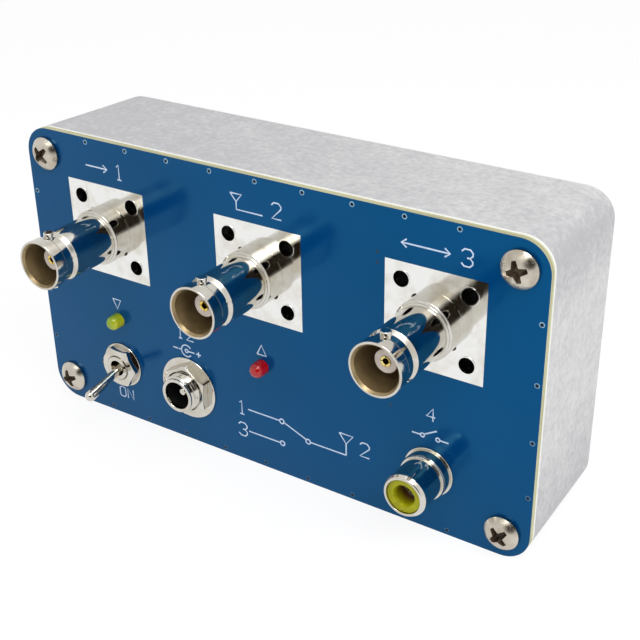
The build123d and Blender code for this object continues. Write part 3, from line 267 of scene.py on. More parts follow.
def board_material():
    """Glossy blue mask on the faces, bare glass fibre round the edge and in the holes, and a painted
    highlight along the back of the edge.
    """
    s = Shader("solder_mask")
    depth = s.axis("Y")
    skin, highlight_band = 0.03 * MM, 0.35 * MM
    on_front = s.math("LESS_THAN", depth, PANEL_LOW.y + skin)
    on_back = s.math("GREATER_THAN", depth, PANEL_HIGH.y - skin)
    on_face = s.math("ADD", on_front, on_back)
    mask = s.mix(s.remap(s.noise(28.0, 3.0), 0.35, 0.65), MASK, MASK_DEEP)
    plies = s.noise(40.0, 2.0, place=s.stretch(1.0, 110.0, 1.0))
    edge = s.mix(s.remap(plies, 0.4, 0.6), BOARD_EDGE, BOARD_EDGE_DARK)
    # Painted highlight: the back of the board's edge, next to the casting's rim, is painted near white.
    edge = s.mix(s.math("GREATER_THAN", depth, PANEL_HIGH.y - highlight_band), edge, BOARD_EDGE_HIGHLIGHT)
    s.colour(s.mix(on_face, edge, mask))
    s.roughness(s.remap(on_face, 0.0, 1.0, 0.75, 0.13))
    s.bump(s.noise(1400.0, 3.0), 0.05, 0.02)
    s.set(Specular_IOR_Level=0.5, Specular_Tint=MASK_SHEEN)
    return s.material


def ring_material():
    """Mask over the copper round an edge hole, with painted light that makes it paler toward the top of the
    board.
    """
    s = Shader("masked_ring")
    # Painted light: the rings are painted paler toward the top of the board.
    painted_light = s.remap(s.axis("Z"), 8 * MM, 48 * MM, 0.15, 1.0)
    speckle = s.remap(s.noise(1500.0, 2.0), 0.35, 0.65, 0.7, 1.0)
    s.colour(s.mix(s.math("MULTIPLY", painted_light, speckle), MASK, RING_PALE))
    s.set(Roughness=0.3, Specular_IOR_Level=0.4, Specular_Tint=MASK_SHEEN)
    return s.material


def casting_material():
    """Tumbled die-cast aluminium: finely mottled, matt, with a painted highlight on its rim at the board.

    Shade is painted in: it is darker toward the left, at the foot, on the top face and along the upper right
    edge.
    """
    s = Shader("tumbled_casting")
    s.set(Metallic=0.25)
    x, z = s.axis("X"), s.axis("Z")
    grain = s.noise(900.0, 8.0, 0.7)
    blotch = s.noise(240.0, 6.0, 0.6)
    mottle_and_shade = s.math("ADD", s.math("MULTIPLY", grain, 0.7), s.math("MULTIPLY", blotch, 0.3))
    # Painted shade: the casting is made darker toward the left, at the foot, on the top face and along the
    # upper right edge.
    left = s.remap(x, CASE_LOW.x, CASE_HIGH.x, 0.09, -0.04)
    low = s.remap(z, 0.0, 24 * MM, 0.21, 0.0)
    top_face_shade = s.remap(z, CASE_HIGH.z - 1.5 * MM, CASE_HIGH.z - 0.3 * MM, 0.0, 0.07)
    shade_near_right = s.remap(x, CASE_HIGH.x - 6 * MM, CASE_HIGH.x, 0.0, 0.22)
    shade_toward_top = s.remap(z, CASE_HIGH.z - 16 * MM, CASE_HIGH.z - 4 * MM)
    for shade in (left, low, top_face_shade, s.math("MULTIPLY", shade_near_right, shade_toward_top)):
        mottle_and_shade = s.math("ADD", mottle_and_shade, shade)
    body = s.mix(s.remap(mottle_and_shade, 0.4, 0.66), CASTING, CASTING_DARK)
    # Painted highlight: the casting's rim at the board is painted near white.
    rim = s.math("LESS_THAN", s.axis("Y"), CASE_LOW.y + 0.25 * MM)
    s.colour(s.mix(rim, body, CASTING_RIM_HIGHLIGHT))
    s.roughness(s.remap(s.noise(420.0, 6.0, 0.6), 0.35, 0.65, 0.5, 0.7))
    s.bump(s.noise(1100.0, 8.0, 0.7), 0.22, 0.05)
    return s.material


def solder_material():
    """Hot-air levelled solder: a mirror with a slow ripple, fine streaks and light scratches."""
    s = Shader("levelled_solder")
    s.set(Metallic=1.0)
    s.colour(s.mix(s.remap(s.noise(300.0, 5.0), 0.45, 0.75), TIN, TIN_WARM))
    scratches = s.noise(90.0, 6.0, 0.7, place=s.stretch(14.0, 1.0, 1.0))
    s.roughness(s.remap(scratches, 0.35, 0.7, 0.03, 0.16))
    s.bump(s.noise(120.0, 3.0), 0.1, 0.1)
    return s.material


def lens_material(name, node, colour, painted_light):
    """Tinted epoxy of a lamp: cloudy, with painted light gathered at the side away from its source."""
    s = Shader(name)
    s.set(Roughness=0.12, IOR=1.52, Transmission_Weight=0.15, Coat_Weight=0.2, Coat_Roughness=0.05)
    x = centre_of(node)[0]
    # Painted light: the lens is painted brighter toward its right side.
    across = s.remap(s.axis("X"), (x - 0.6) * MM, (x + 1.6) * MM)
    cloud = s.remap(s.noise(700.0, 3.0), 0.35, 0.65, 0.8, 1.0)
    s.colour(s.mix(s.math("MULTIPLY", across, cloud), colour, painted_light))
    return s.material


def insert_material():
    """Coloured moulding of the phono jack, with painted shade toward the bottom of its hole."""
    s = Shader("phono_insert")
    s.set(Specular_IOR_Level=0.25)
    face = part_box("rca_jack_insert")[0].y
    # Painted shade: the insert is painted dark brown toward the bottom of its hole.
    shade_with_depth = s.remap(s.axis("Y"), face + 0.7 * MM, face + 2.8 * MM)
    s.colour(s.mix(shade_with_depth, moulded(s, INSERT, INSERT_DEEP, 0.45), INSERT_SHADE))
    return s.material


MATERIALS = {
    "cast_aluminium": casting_material(),
    "board": board_material(),
    "tin": solder_material(),
    "nickel": metal("bright_nickel", NICKEL, NICKEL_WARM, 0.04, 0.10),
    # painted shade inside the coaxial jacks' bores
    "bore": metal("bore_shade_nickel", BORE_SHADE, BORE_SHADE_DARK, 0.3, 0.4, metallic=0.6),
    "screw": metal("screw_nickel", SCREW, SCREW_DARK, 0.2, 0.32),
    # painted shade inside the screws' recesses
    "recess": metal("screw_recess_shade", RECESS_SHADE, RECESS_SHADE_DARK, 0.4, 0.5, metallic=0.5),
    "masked_ring": ring_material(),
    "hole": plastic("shaded_hole", HOLE, HOLE_DEEP, 0.5),
    "steel": metal("plain_steel", STEEL, CASTING_DARK, 0.25, 0.4),
    "gold": metal("gold_plate", GOLD, GOLD_PALE, 0.12, 0.22),
    "white_plastic": plastic("dielectric", DIELECTRIC, DIELECTRIC_DULL, 0.42),
    "black_plastic": plastic("black_moulding", BLACK, BLACK_WORN, 0.4),
    "yellow_plastic": insert_material(),
    "green_lens": lens_material("lens_green", "receive_lamp", LENS_GREEN, LENS_GREEN_LIT),
    "red_lens": lens_material("lens_red", "transmit_lamp", LENS_RED, LENS_RED_LIT),
    "relay_plastic": plastic("relay_moulding", RELAY_BODY, RELAY_DULL, 0.45),
    "copper_wire": metal("coil_winding", COPPER, COPPER_DARK, 0.3, 0.45),
    "can_aluminium": metal("drawn_can", CASTING, CASTING_DARK, 0.25, 0.35),
    "ceramic": plastic("chip_ceramic", CHIP_BROWN, CHIP_DARK, 0.5),
    "wire_red": plastic("red_insulation", WIRE_RED, WIRE_RED_DARK, 0.4),
    "wire_black": plastic("black_insulation", BLACK, WIRE_BLACK_WORN, 0.4),
    "ink": plastic("legend_ink", INK, INK_THIN, 0.55),
}


# ------------------------------------------------------------------ mesh helpers
def added(name, data):
    """A new object in the scene."""
    made = bpy.data.objects.new(name, data)
    bpy.context.scene.collection.objects.link(made)
    return made


def mesh_of(name, bm):
    """A bmesh as a new mesh."""
    mesh = bpy.data.meshes.new(name)
    bm.to_mesh(mesh)
    bm.free()
    return mesh


def evaluated_mesh(thing):
    """An object's shape with its modifiers or bevel as a new mesh."""
    return bpy.data.meshes.new_from_object(thing.evaluated_get(bpy.context.evaluated_depsgraph_get()))


def dress(piece, material):
    """Make one of MATERIALS a piece's only material."""
    piece.data.materials.clear()
    piece.data.materials.append(MATERIALS[material])


def with_axes(place, x, y, z):
    """Placement at a point with the given directions of its axes."""
    return Matrix((
        (x.x, y.x, z.x, place.x),
        (x.y, y.y, z.y, place.y),
        (x.z, y.z, z.z, place.z),
        (0, 0, 0, 1),
    ))


def at_panel(x, z):
    """Placement of a fitting: local Z points out of the panel, local X along it."""
    return Matrix.Translation((x * MM, FRONT * MM, z * MM)) @ Matrix.Rotation(radians(90), 4, "X")


def square(half):
    """The four corners of a square about a fitting's middle."""
    return [(x, y) for x in (-half, half) for y in (-half, half)]


def arc(radius, depth, start, end, steps):
    """Profile points round a point on the axis, between two angles in degrees above level."""
    angles = [radians(start + (end - start) * k / steps) for k in range(steps + 1)]
    return [(radius * cos(a), depth + radius * sin(a)) for a in angles]


def rounded(corners):
    """Profile through (radius, depth, rounding) corners, with an arc at each rounded one.

    An arc takes at most most_edge of either edge. A point just outside each of its ends, support away
    or near_end of the edge, keeps the shading of the edge even.
    """
    steps, most_edge, support, near_end = 5, 0.48, 0.03, 0.02
    points = []
    for i, (r, d, fillet) in enumerate(corners):
        here = Vector((r, d))
        if fillet <= 0 or i in (0, len(corners) - 1):
            points.append(here)
            continue
        before = Vector(corners[i - 1][:2]) - here
        after = Vector(corners[i + 1][:2]) - here
        half = before.angle(after) / 2
        run = min(fillet / tan(half), before.length * most_edge, after.length * most_edge)
        start = here + before.normalized() * run
        end = here + after.normalized() * run
        radius = run * tan(half)
        centre = here + (before.normalized() + after.normalized()).normalized() * (radius / sin(half))
        first = (start - centre).normalized()
        last = (end - centre).normalized()
        sweep = first.angle(last)
        points.append(start + before.normalized() * min(support, before.length * near_end))
        for k in range(steps + 1):
            t = k / steps
            blend = (first * sin((1 - t) * sweep) + last * sin(t * sweep)) / sin(sweep)
            points.append(centre + blend * radius)
        points.append(end + after.normalized() * min(support, after.length * near_end))
    return [(p.x, p.y) for p in points]


def bridge(bm, rings):
    """Faces from each ring of vertices to the next. A ring of one vertex is a point."""
    for a, b in zip(rings, rings[1:]):
        count = max(len(a), len(b))
        if count == 1:
            continue
        for k in range(count):
            n = (k + 1) % count
            if len(a) == 1:
                bm.faces.new((a[0], b[n], b[k]))
            elif len(b) == 1:
                bm.faces.new((a[k], a[n], b[0]))
            else:
                bm.faces.new((a[k], a[n], b[n], b[k]))


def spin(bm, profile, segments=96, shift=(0.0, 0.0), closed=True):
    """Revolve (radius, depth) points about local Z, and close the profile if both ends are off the axis."""
    on_axis = 1e-6
    turns = [2 * pi * k / segments for k in range(segments)]
    rings = []
    for r, d in profile:
        if r < on_axis:
            rings.append([bm.verts.new((*shift, d))])
        else:
            rings.append([bm.verts.new((shift[0] + r * cos(a), shift[1] + r * sin(a), d)) for a in turns])
    if closed and len(rings[0]) > 1 and len(rings[-1]) > 1:
        rings.append(rings[0])
    bridge(bm, rings)


def finished(name, bm, placement, material, body="body", node=None, smooth_angle=32):
    """Turn a bmesh in millimetres into a piece that rides on a body, and may stand for a node."""
    bmesh.ops.remove_doubles(bm, verts=bm.verts, dist=1e-4)
    bmesh.ops.recalc_face_normals(bm, faces=bm.faces)
    for face in bm.faces:
        face.smooth = True
    mesh = mesh_of(name, bm)
    mesh.transform(placement @ Matrix.Scale(MM, 4))
    mesh.set_sharp_from_angle(angle=radians(smooth_angle))
    piece = added(name, mesh)
    dress(piece, material)
    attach(piece, body)
    if node:
        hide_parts(node)
    return piece


def turned(name, corners, placement, material, node=None, segments=96):
    """A piece of revolution from (radius, depth, rounding) corners."""
    bm = bmesh.new()
    spin(bm, rounded(corners), segments)
    return finished(name, bm, placement, material, node=node)


# ------------------------------------------------------------------ nuts, washers and threads
def nut_section(angle, flats, bore, base, top):
    """A nut's (radius, depth) points at an angle from the middle of a flat, round from its bore's foot."""
    corner_ease, base_ease, slope = 0.1, 0.07, radians(28)
    sector = (angle + 30) % 60 - 30
    r = min(flats / 2 / cos(radians(sector)), flats / 2 / cos(radians(30)) - corner_ease)
    shoulder = top - max(0.0, r - flats / 2) * tan(slope)
    return (
        (bore, base + 0.3),
        (bore + 0.2, base),
        (r - base_ease, base),
        (r, base + base_ease),
        (r, shoulder - NUT_BEVEL * 1.15),
        (r, shoulder - NUT_BEVEL),
        (r - NUT_BEVEL * 0.3, shoulder - NUT_BEVEL * 0.3),
        (min(r - NUT_BEVEL, flats / 2 - NUT_BEVEL * 0.6), top),
        (bore + 0.25, top),
        (bore, top - 0.25),
    )


def hex_nut(name, node, flats, bore, turn):
    """Hex nut with corners turned off to a cone and eased upper edges, turned by some degrees."""
    base, top = root_of(node), reach_of(node)
    within_side = (-30, -28.6, -27, -22, -14, -6, 0, 6, 14, 22, 27, 28.6)
    angles = [60 * side + a for side in range(6) for a in within_side]
    sections = [nut_section(a, flats, bore, base, top) for a in angles]
    bm = bmesh.new()
    rings = []
    for points in zip(*sections):
        ring = []
        for a, (radius, depth) in zip(angles, points):
            t = radians(a + 30 + turn)
            ring.append(bm.verts.new((radius * cos(t), radius * sin(t), depth)))
        rings.append(ring)
    bridge(bm, rings + rings[:1])
    finished(name, bm, at_panel(*centre_of(node)), "nickel", node=node, smooth_angle=24)


def flat_washer(name, node, bore):
    base, top, r = root_of(node), reach_of(node), radius_of(node)
    corners = ((bore, base, 0), (r, base, 0.08), (r, top, 0.12), (bore, top, 0.08))
    turned(name, corners, at_panel(*centre_of(node)), "nickel", node=node)


def threaded(bm, radius, low, high, pitch, depth, segments=96):
    """Outside thread from low to high, a helix that fades at both ends."""
    per_pitch, fade_length = 8, 0.4 * pitch
    rows = int((high - low) / pitch * per_pitch)
    rings = []
    for i in range(rows + 1):
        d = low + (high - low) * i / rows
        fade = max(0.0, min(1.0, (d - low) / fade_length, (high - d) / fade_length))
        ring = []
        for k in range(segments):
            a = 2 * pi * k / segments
            wave = (d / pitch - k / segments) % 1.0
            r = radius - depth * (1 - abs(2 * wave - 1)) * fade
            ring.append(bm.verts.new((r * cos(a), r * sin(a), d)))
        rings.append(ring)
    bridge(bm, rings)


# ------------------------------------------------------------------ coaxial jacks
def bnc_jack(label):
    """Shell, insulator and contact of one coaxial jack, and a lining of painted shade in its bore."""
    shell, insulator, contact = (f"{label}_jack_{part}" for part in ("shell", "insulator", "contact"))
    here = at_panel(*centre_of(shell))
    pad = reach_of("connector_pads")
    rim, face, tip = reach_of(shell), reach_of(insulator), reach_of(contact)
    barrel, base, groove, bore, mouth, seat = 4.8, 5.5, 4.35, 4.06, 4.42, 2.08    # radii
    floor = rim - 9.0
    bm = bmesh.new()
    spin(bm, rounded((
        (seat, pad, 0),
        (base, pad, 0.06),
        (base, pad + 3.78, 0.12),
        (5.25, pad + 3.9, 0.04),
        (5.04, pad + 4.02, 0),
        (5.16, pad + 4.12, 0.04),
        (5.12, pad + 4.24, 0.06),
        (barrel, pad + 4.32, 0.04),
        (barrel, rim - 5.2, 0.2),
        (groove, rim - 4.45, 0.5),
        (groove, rim - 2.5, 0.1),
        (barrel, rim - 2.5, 0.24),
        (barrel, rim, 0.1),
        (mouth, rim, 0.05),
        (bore, rim - 0.45, 0.15),
        (bore, floor, 0.15),
        (seat, floor, 0),
    )), 128)
    lug, lug_root, lug_end = 0.95, 4.15, 5.5    # a bayonet lug's radius, and where it starts and ends
    for side in (1, -1):
        before = set(bm.verts)
        spin(bm, rounded(((0, lug_root, 0), (lug, lug_root, 0), (lug, lug_end, 0.14), (0, lug_end, 0))), 32)
        new = [v for v in bm.verts if v not in before]
        turn = Matrix.Translation((0, 0, rim - 3.3)) @ Matrix.Rotation(radians(-90 * side), 4, "X")
        bmesh.ops.transform(bm, matrix=turn, verts=new)
    leg = 0.5
    for place in square(JACK_LEG):
        spin(bm, ((0, pad), (leg, pad), (leg, TAIL), (0, TAIL)), 24, place)
    finished(f"{shell}_turned", bm, here, "nickel", node=shell)

    # Painted shade: a darker, browner sheet of nickel just inside the bore.
    turned(f"{label}_jack_bore_shade_lining", (
        (bore + 0.1, rim - 0.6, 0), (mouth + 0.02, rim - 0.1, 0), (mouth - 0.03, rim - 0.015, 0),
        (bore - 0.03, rim - 0.45, 0.1), (bore - 0.03, floor + 0.06, 0.3), (seat, floor + 0.06, 0),
        (seat, floor, 0), (bore + 0.1, floor, 0),
    ), here, "bore")
    step = face - 7.0    # where the insulator's bore ends and the contact gets thinner
    turned(f"{insulator}_turned", (
        (0.53, pad, 0), (2.05, pad, 0), (2.05, face, 0.12),
        (0.98, face, 0.1), (0.95, step, 0), (0.53, step, 0),
    ), here, "white_plastic", node=insulator)
    wire, inner, outer = 0.5, 0.56, 0.92    # radii of the contact's tail and its socket
    split, bottom = tip - 1.8, tip - 5.0
    bm = bmesh.new()
    spin(bm, rounded((
        (0, TAIL, 0), (wire, TAIL, 0.1), (wire, step, 0), (outer, step, 0),
        (outer, split, 0), (inner, split, 0), (inner, bottom, 0), (0, bottom, 0),
    )), 48)
    fingers(bm, inner, outer, split, tip)
    finished(f"{contact}_turned", bm, here, "gold", node=contact)


def fingers(bm, inner, outer, low, high):
    """The split end of a socket contact."""
    count, gap, steps, lip = 4, 0.15, 8, 0.06
    for i in range(count):
        rows = []
        for k in range(steps + 1):
            row = []
            for r, end in ((inner, high - lip), (outer, high)):
                edge = asin(gap / 2 / r)
                a = 2 * pi * i / count + edge + (2 * pi / count - 2 * edge) * k / steps
                row += [bm.verts.new((r * cos(a), r * sin(a), d)) for d in (low, end)]
            rows.append([row[0], row[1], row[3], row[2]])
        bridge(bm, rows)
        bm.faces.new(rows[0])
        bm.faces.new(list(reversed(rows[-1])))


def flange_hole_lips(label):
    """Bright raised lip of the lining of each of the four flange holes."""
    pad = reach_of("connector_pads")
    inner, outer, lip = 1.49, 1.72, 0.06
    corners = ((inner, pad - 0.3, 0), (outer, pad, 0), (outer, pad + lip, 0.04), (inner, pad + lip, 0.05))
    bm = bmesh.new()
    for place in square(FLANGE_HOLE):
        spin(bm, rounded(corners), 48, place)
    piece = finished(f"{label}_flange_hole_lips", bm, at_panel(*centre_of(f"{label}_jack_shell")), "tin")


# ------------------------------------------------------------------ small holes in the board
def along_edge(screw, pitch):
    """Places of the holes along an edge, spread evenly about its middle and clear of the screws."""
    clear = 7.0
    gaps = int(2 * (screw - clear) / pitch)
    return [(i - gaps / 2) * pitch for i in range(gaps + 1)]


def edge_hole_rings():
    """Rings of mask-covered copper round the holes along the board's edges."""
    inset, pitch_x, pitch_z = 0.95, 10.0, 11.0
    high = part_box("lid_screws")[1]
    middle_z = (PANEL_LOW.z + PANEL_HIGH.z) / 2 / MM
    xs = (PANEL_LOW.x / MM + inset, PANEL_HIGH.x / MM - inset)
    zs = (PANEL_LOW.z / MM + inset, PANEL_HIGH.z / MM - inset)
    points = [(place, z) for place in along_edge(high.x / MM - HEAD_R, pitch_x) for z in zs]
    sides = along_edge(high.z / MM - HEAD_R - middle_z, pitch_z)
    points += [(x, middle_z + place) for place in sides for x in xs]
    corners = ((0.31, 0.0, 0), (0.5, 0.0, 0), (0.47, 0.035, 0.02), (0.34, 0.035, 0.02))
    bm = bmesh.new()
    for point in points:
        spin(bm, rounded(corners), 24, point)
    piece = finished("edge_hole_rings", bm, at_panel(0, 0), "masked_ring")
    # Painted shade: the holes are dressed dark.
    dress(NODES["stitching_vias"], "hole")


def small_vias():
    """Small mask-covered vias: two beside the right jack's pad and one below it."""
    radius, sunk, proud = 0.24, -0.05, 0.015
    bm = bmesh.new()
    for place in SMALL_VIAS:
        spin(bm, ((0, sunk), (radius, sunk), (radius, proud), (0, proud)), 20, place)
    # Painted shade: black discs stand for the dark of the small holes.
    piece = finished("small_vias", bm, at_panel(0, 0), "black_plastic")


# ------------------------------------------------------------------ other fittings
def toggle_lever():
    """Bat lever, drawn along its own tilted axis, and the ball that it turns on."""
    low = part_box("toggle_lever")[0]
    pin_low, pin_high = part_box("toggle_pivot_pin")
    x = centre_of("toggle_washer")[0] * MM
    pivot = Vector((x, (pin_low.y + pin_high.y) / 2, (pin_low.z + pin_high.z) / 2))
    ball, neck, end, tail = 1.4, 0.85, 1.1, 0.65    # radii
    bat_start = 2.7    # from the pivot
    tip = Vector((x, low.y + end * MM, low.z + end * MM))
    reach = (tip - pivot).length / MM
    out = (tip - pivot).normalized()
    side = Vector((1, 0, 0))
    profile = [(0, -3.6), (tail, -3.6), (tail, -1.3)]
    profile += arc(ball, 0, -58, 46, 8)
    profile += [(neck, 1.25), (neck, 2.6)]
    for k in range(13):
        t = k / 12
        profile.append((neck + (end - neck) * t ** 1.3, bat_start + (reach - bat_start) * t))
    profile += arc(end, reach, 0, 90, 8)[1:]
    bm = bmesh.new()
    spin(bm, profile, 64)
    placement = with_axes(pivot, side, out.cross(side), out)
    finished("toggle_lever_bat", bm, placement, "nickel", "lever", node="toggle_lever", smooth_angle=40)


def toggle_switch():
    flat_washer("toggle_washer_ring", "toggle_washer", TOGGLE_BORE)
    hex_nut("toggle_nut_hex", "toggle_nut", flats=7.9, bore=TOGGLE_BORE, turn=-2)
    toggle_lever()


def power_jack():
    """DC jack: washer, nut, threaded bushing with its plain mouth, and centre pin."""
    here = at_panel(*centre_of("dc_jack_washer"))
    flat_washer("dc_jack_washer_ring", "dc_jack_washer", DC_BORE)
    hex_nut("dc_jack_nut_hex", "dc_jack_nut", flats=9.8, bore=DC_BORE, turn=28)
    out, tail = reach_of("dc_jack_housing"), root_of("dc_jack_housing")
    thread, mouth_edge, mouth, bore, rear = 4.0, 3.62, 2.9, 3.23, 4.9    # radii
    thread_end = out - 0.75
    bm = bmesh.new()
    spin(bm, rounded((
        (thread, thread_end, 0), (mouth_edge, out - 0.42, 0.06), (mouth_edge, out, 0.14),
        (mouth, out, 0.16), (mouth, out - 0.7, 0), (bore, out - 0.7, 0), (bore, tail, 0),
        (rear, tail, 0.2), (rear, BACK, 0.1), (thread, BACK, 0), (thread, 0.0, 0),
    )), closed=False)
    threaded(bm, thread, 0.0, thread_end, pitch=0.6, depth=0.3)
    finished("dc_jack_housing_threaded", bm, here, "nickel", node="dc_jack_housing", smooth_angle=50)
    pin, pin_end = 1.05, reach_of("dc_jack_pin")
    turned("dc_jack_pin_turned", (
        (0, tail - 1.2, 0), (pin, tail - 1.2, 0), (pin, pin_end - 0.45, 0.4),
        (0.62, pin_end, 0.2), (0, pin_end, 0),
    ), here, "nickel", node="dc_jack_pin", segments=48)


def phono_jack():
    """RCA jack: washer, shell with its flange and rolled rim, and the coloured insert."""
    here = at_panel(*centre_of("rca_jack_shell"))
    flat_washer("rca_jack_washer_ring", "rca_jack_washer", 3.03)
    out, tail = reach_of("rca_jack_shell"), root_of("rca_jack_shell")
    washer_top = reach_of("rca_jack_washer")
    rear, thread, flange, shell, mouth = 1.3, 3.0, 4.5, 4.05, 3.33    # radii
    floor = 1.75
    turned("rca_jack_shell_turned", (
        (rear, tail, 0),
        (thread, tail, 0.2),
        (thread, washer_top, 0),
        (flange, washer_top, 0.04),
        (flange, washer_top + 1.9, 0.4),
        (4.33, washer_top + 2.4, 0.1),
        (shell, washer_top + 2.4, 0.03),
        (shell, out - 1.75, 0.1),
        (4.12, out - 1.5, 0.1),
        (4.15, out - 0.75, 0.7),
        (3.75, out, 0.6),
        (mouth, out, 0.08),
        (mouth, floor, 0),
        (rear, floor, 0),
    ), here, "nickel", node="rca_jack_shell", segments=128)
    face = reach_of("rca_jack_insert")
    hole, insert, socket = 0.83, 3.3, 1.9    # radii
    turned("rca_jack_insert_turned", (
        (hole, floor, 0), (insert, floor, 0), (insert, face, 0.15), (2.15, face, 0.25),
        (socket, face - 0.6, 0.3), (socket, face - 6.6, 0), (hole, face - 6.6, 0),
    ), here, "yellow_plastic", node="rca_jack_insert")


def lamp(node, material):
    """A round lamp with a domed end and a flange behind the board."""
    out, foot = reach_of(node), root_of(node)
    dome, flange = 1.5, 1.9    # radii
    bm = bmesh.new()
    spin(bm, [(0, foot), (flange, foot), (flange, BACK), (dome, BACK), *arc(dome, out - dome, 0, 90, 12)], 64)
    finished(f"{node}_dome", bm, at_panel(*centre_of(node)), material, node=node)


def lid_screws():
    """Pan heads with a cross recess, and their shanks."""
    low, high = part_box("lid_screws")
    left, right = low.x / MM + HEAD_R, high.x / MM - HEAD_R
    upper, lower = high.z / MM - HEAD_R, low.z / MM + HEAD_R
    top, tail = reach_of("lid_screws"), root_of("lid_screws")
    point, shank, side = 1.1, 1.75, 0.65    # radii of the point and the shank, height of the head's side
    crown = top - side
    dome = (HEAD_R ** 2 + crown ** 2) / (2 * crown)
    profile = [(0, tail), (point, tail), (shank, tail + 0.7), (shank, 0.0)]
    profile += [(3.12, 0.0), (HEAD_R, 0.12), (HEAD_R, side - 0.06)]
    for k in range(17):
        a = asin(HEAD_R / dome) * (1 - k / 16)
        profile.append((dome * sin(a), top - dome + dome * cos(a)))
    # corner, its place and the degrees that its recess is turned
    for corner, x, z, turn in (("top_left", left, upper, 45), ("top_right", right, upper, 18),
                               ("bottom_left", left, lower, 20), ("bottom_right", right, lower, 44)):
        bm = bmesh.new()
        spin(bm, profile)
        piece = finished(f"lid_screw_{corner}", bm, at_panel(x, z), "screw")
        cut_recess(piece, at_panel(x, z), top, turn)
        if corner == "top_left":
            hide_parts("lid_screws")


def cut_recess(piece, placement, top, turn):
    """Cut a tapered cross recess into a screw's head and ease its edges."""
    bm = bmesh.new()
    rows = []
    for depth, arm, half_width, corner in ((top + 0.3, 2.5, 0.44, 0.72), (top - 1.5, 1.0, 0.26, 0.42)):
        ring = []
        for quarter in range(4):
            a = radians(90 * quarter)
            for u, v in ((arm, -half_width), (arm, half_width), (corner, corner)):
                ring.append(bm.verts.new((u * cos(a) - v * sin(a), u * sin(a) + v * cos(a), depth)))
        rows.append(ring)
    upper, lower = rows
    bm.faces.new(upper)
    bm.faces.new(list(reversed(lower)))
    for k in range(len(upper)):
        n = (k + 1) % len(upper)
        bm.faces.new((upper[k], lower[k], lower[n], upper[n]))
    bmesh.ops.recalc_face_normals(bm, faces=bm.faces)
    mesh = mesh_of("recess_cutter", bm)
    mesh.transform(placement @ Matrix.Rotation(radians(turn), 4, "Z") @ Matrix.Scale(MM, 4))
    # Painted shade: the cut faces of the recess take a darker metal.
    mesh.materials.append(MATERIALS["recess"])
    cutter = added("recess_cutter", mesh)
    cut = piece.modifiers.new("recess", "BOOLEAN")
    cut.object = cutter
    cut.operation = "DIFFERENCE"
    cut.material_mode = "TRANSFER"
    ease = piece.modifiers.new("ease", "BEVEL")
    ease.width = 0.09 * MM
    ease.segments = 2
    ease.limit_method = "ANGLE"
    ease.angle_limit = radians(50)
    made = evaluated_mesh(piece)
    piece.modifiers.clear()
    piece.data = made
    made.set_sharp_from_angle(angle=radians(40))
    bpy.data.objects.remove(cutter)


# ------------------------------------------------------------------ legends
# Strokes are lines of (u, v) points. A character is 4 wide and 6 high.
GLYPH_HEIGHT = 6
GLYPHS = {
    "1": [[(1, 5), (2, 6), (2, 0)], [(1, 0), (3, 0)]],
    "2": [[(0, 5), (1, 6), (3, 6), (4, 5), (4, 4), (0, 0), (4, 0)]],
    "3": [
        [(0, 5), (1, 6), (3, 6), (4, 5), (4, 4), (3, 3), (4, 2), (4, 1), (3, 0), (1, 0), (0, 1)],
        [(2, 3), (3, 3)],
    ],
    "4": [[(3, 0), (3, 6), (0, 2), (4, 2)]],
    "O": [[(0, 1), (0, 5), (1, 6), (3, 6), (4, 5), (4, 1), (3, 0), (1, 0), (0, 1)]],
    "N": [[(0, 0), (0, 6), (4, 0), (4, 6)]],
    "-": [[(0.5, 3), (3.5, 3)]],
    "+": [[(0.5, 3), (3.5, 3)], [(2, 1.5), (2, 4.5)]],
}


def moved(strokes, du, dv):
    return [[(u + du, v + dv) for u, v in line] for line in strokes]


def words(text):
    """Strokes of a line of characters."""
    pitch = 5.6
    lines = []
    for i, letter in enumerate(text):
        lines += moved(GLYPHS[letter], i * pitch, 0)
    return lines


def circle_stroke(u, v, r):
    count = 20
    return [(u + r * cos(2 * pi * k / count), v + r * sin(2 * pi * k / count)) for k in range(count + 1)]


def legend(name, strokes, x, z, unit):
    """Ink lines on the panel, centred on x and z: unit is what 1 in the strokes comes to."""
    width, flatten, sunk = 0.3, 0.12, 0.004
    curve = bpy.data.curves.new(name, "CURVE")
    curve.dimensions = "3D"
    curve.bevel_depth = width / 2 * MM
    curve.bevel_resolution = 2
    curve.use_fill_caps = True
    us = [u for line in strokes for u, _ in line]
    vs = [v for line in strokes for _, v in line]
    mid_u, mid_v = (min(us) + max(us)) / 2, (min(vs) + max(vs)) / 2
    for line in strokes:
        spline = curve.splines.new("POLY")
        spline.points.add(len(line) - 1)
        for point, (u, v) in zip(spline.points, line):
            point.co = ((x + (u - mid_u) * unit) * MM, 0.0, (z + (v - mid_v) * unit) * MM, 1.0)
    drawn = added(name, curve)
    mesh = evaluated_mesh(drawn)
    bpy.data.objects.remove(drawn)
    mesh.transform(Matrix.Translation((0, (FRONT - sunk) * MM, 0)) @ Matrix.Diagonal((1, flatten, 1, 1)))
    for polygon in mesh.polygons:
        polygon.use_smooth = True
    piece = added(name, mesh)
    dress(piece, "ink")
    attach(piece, "body")


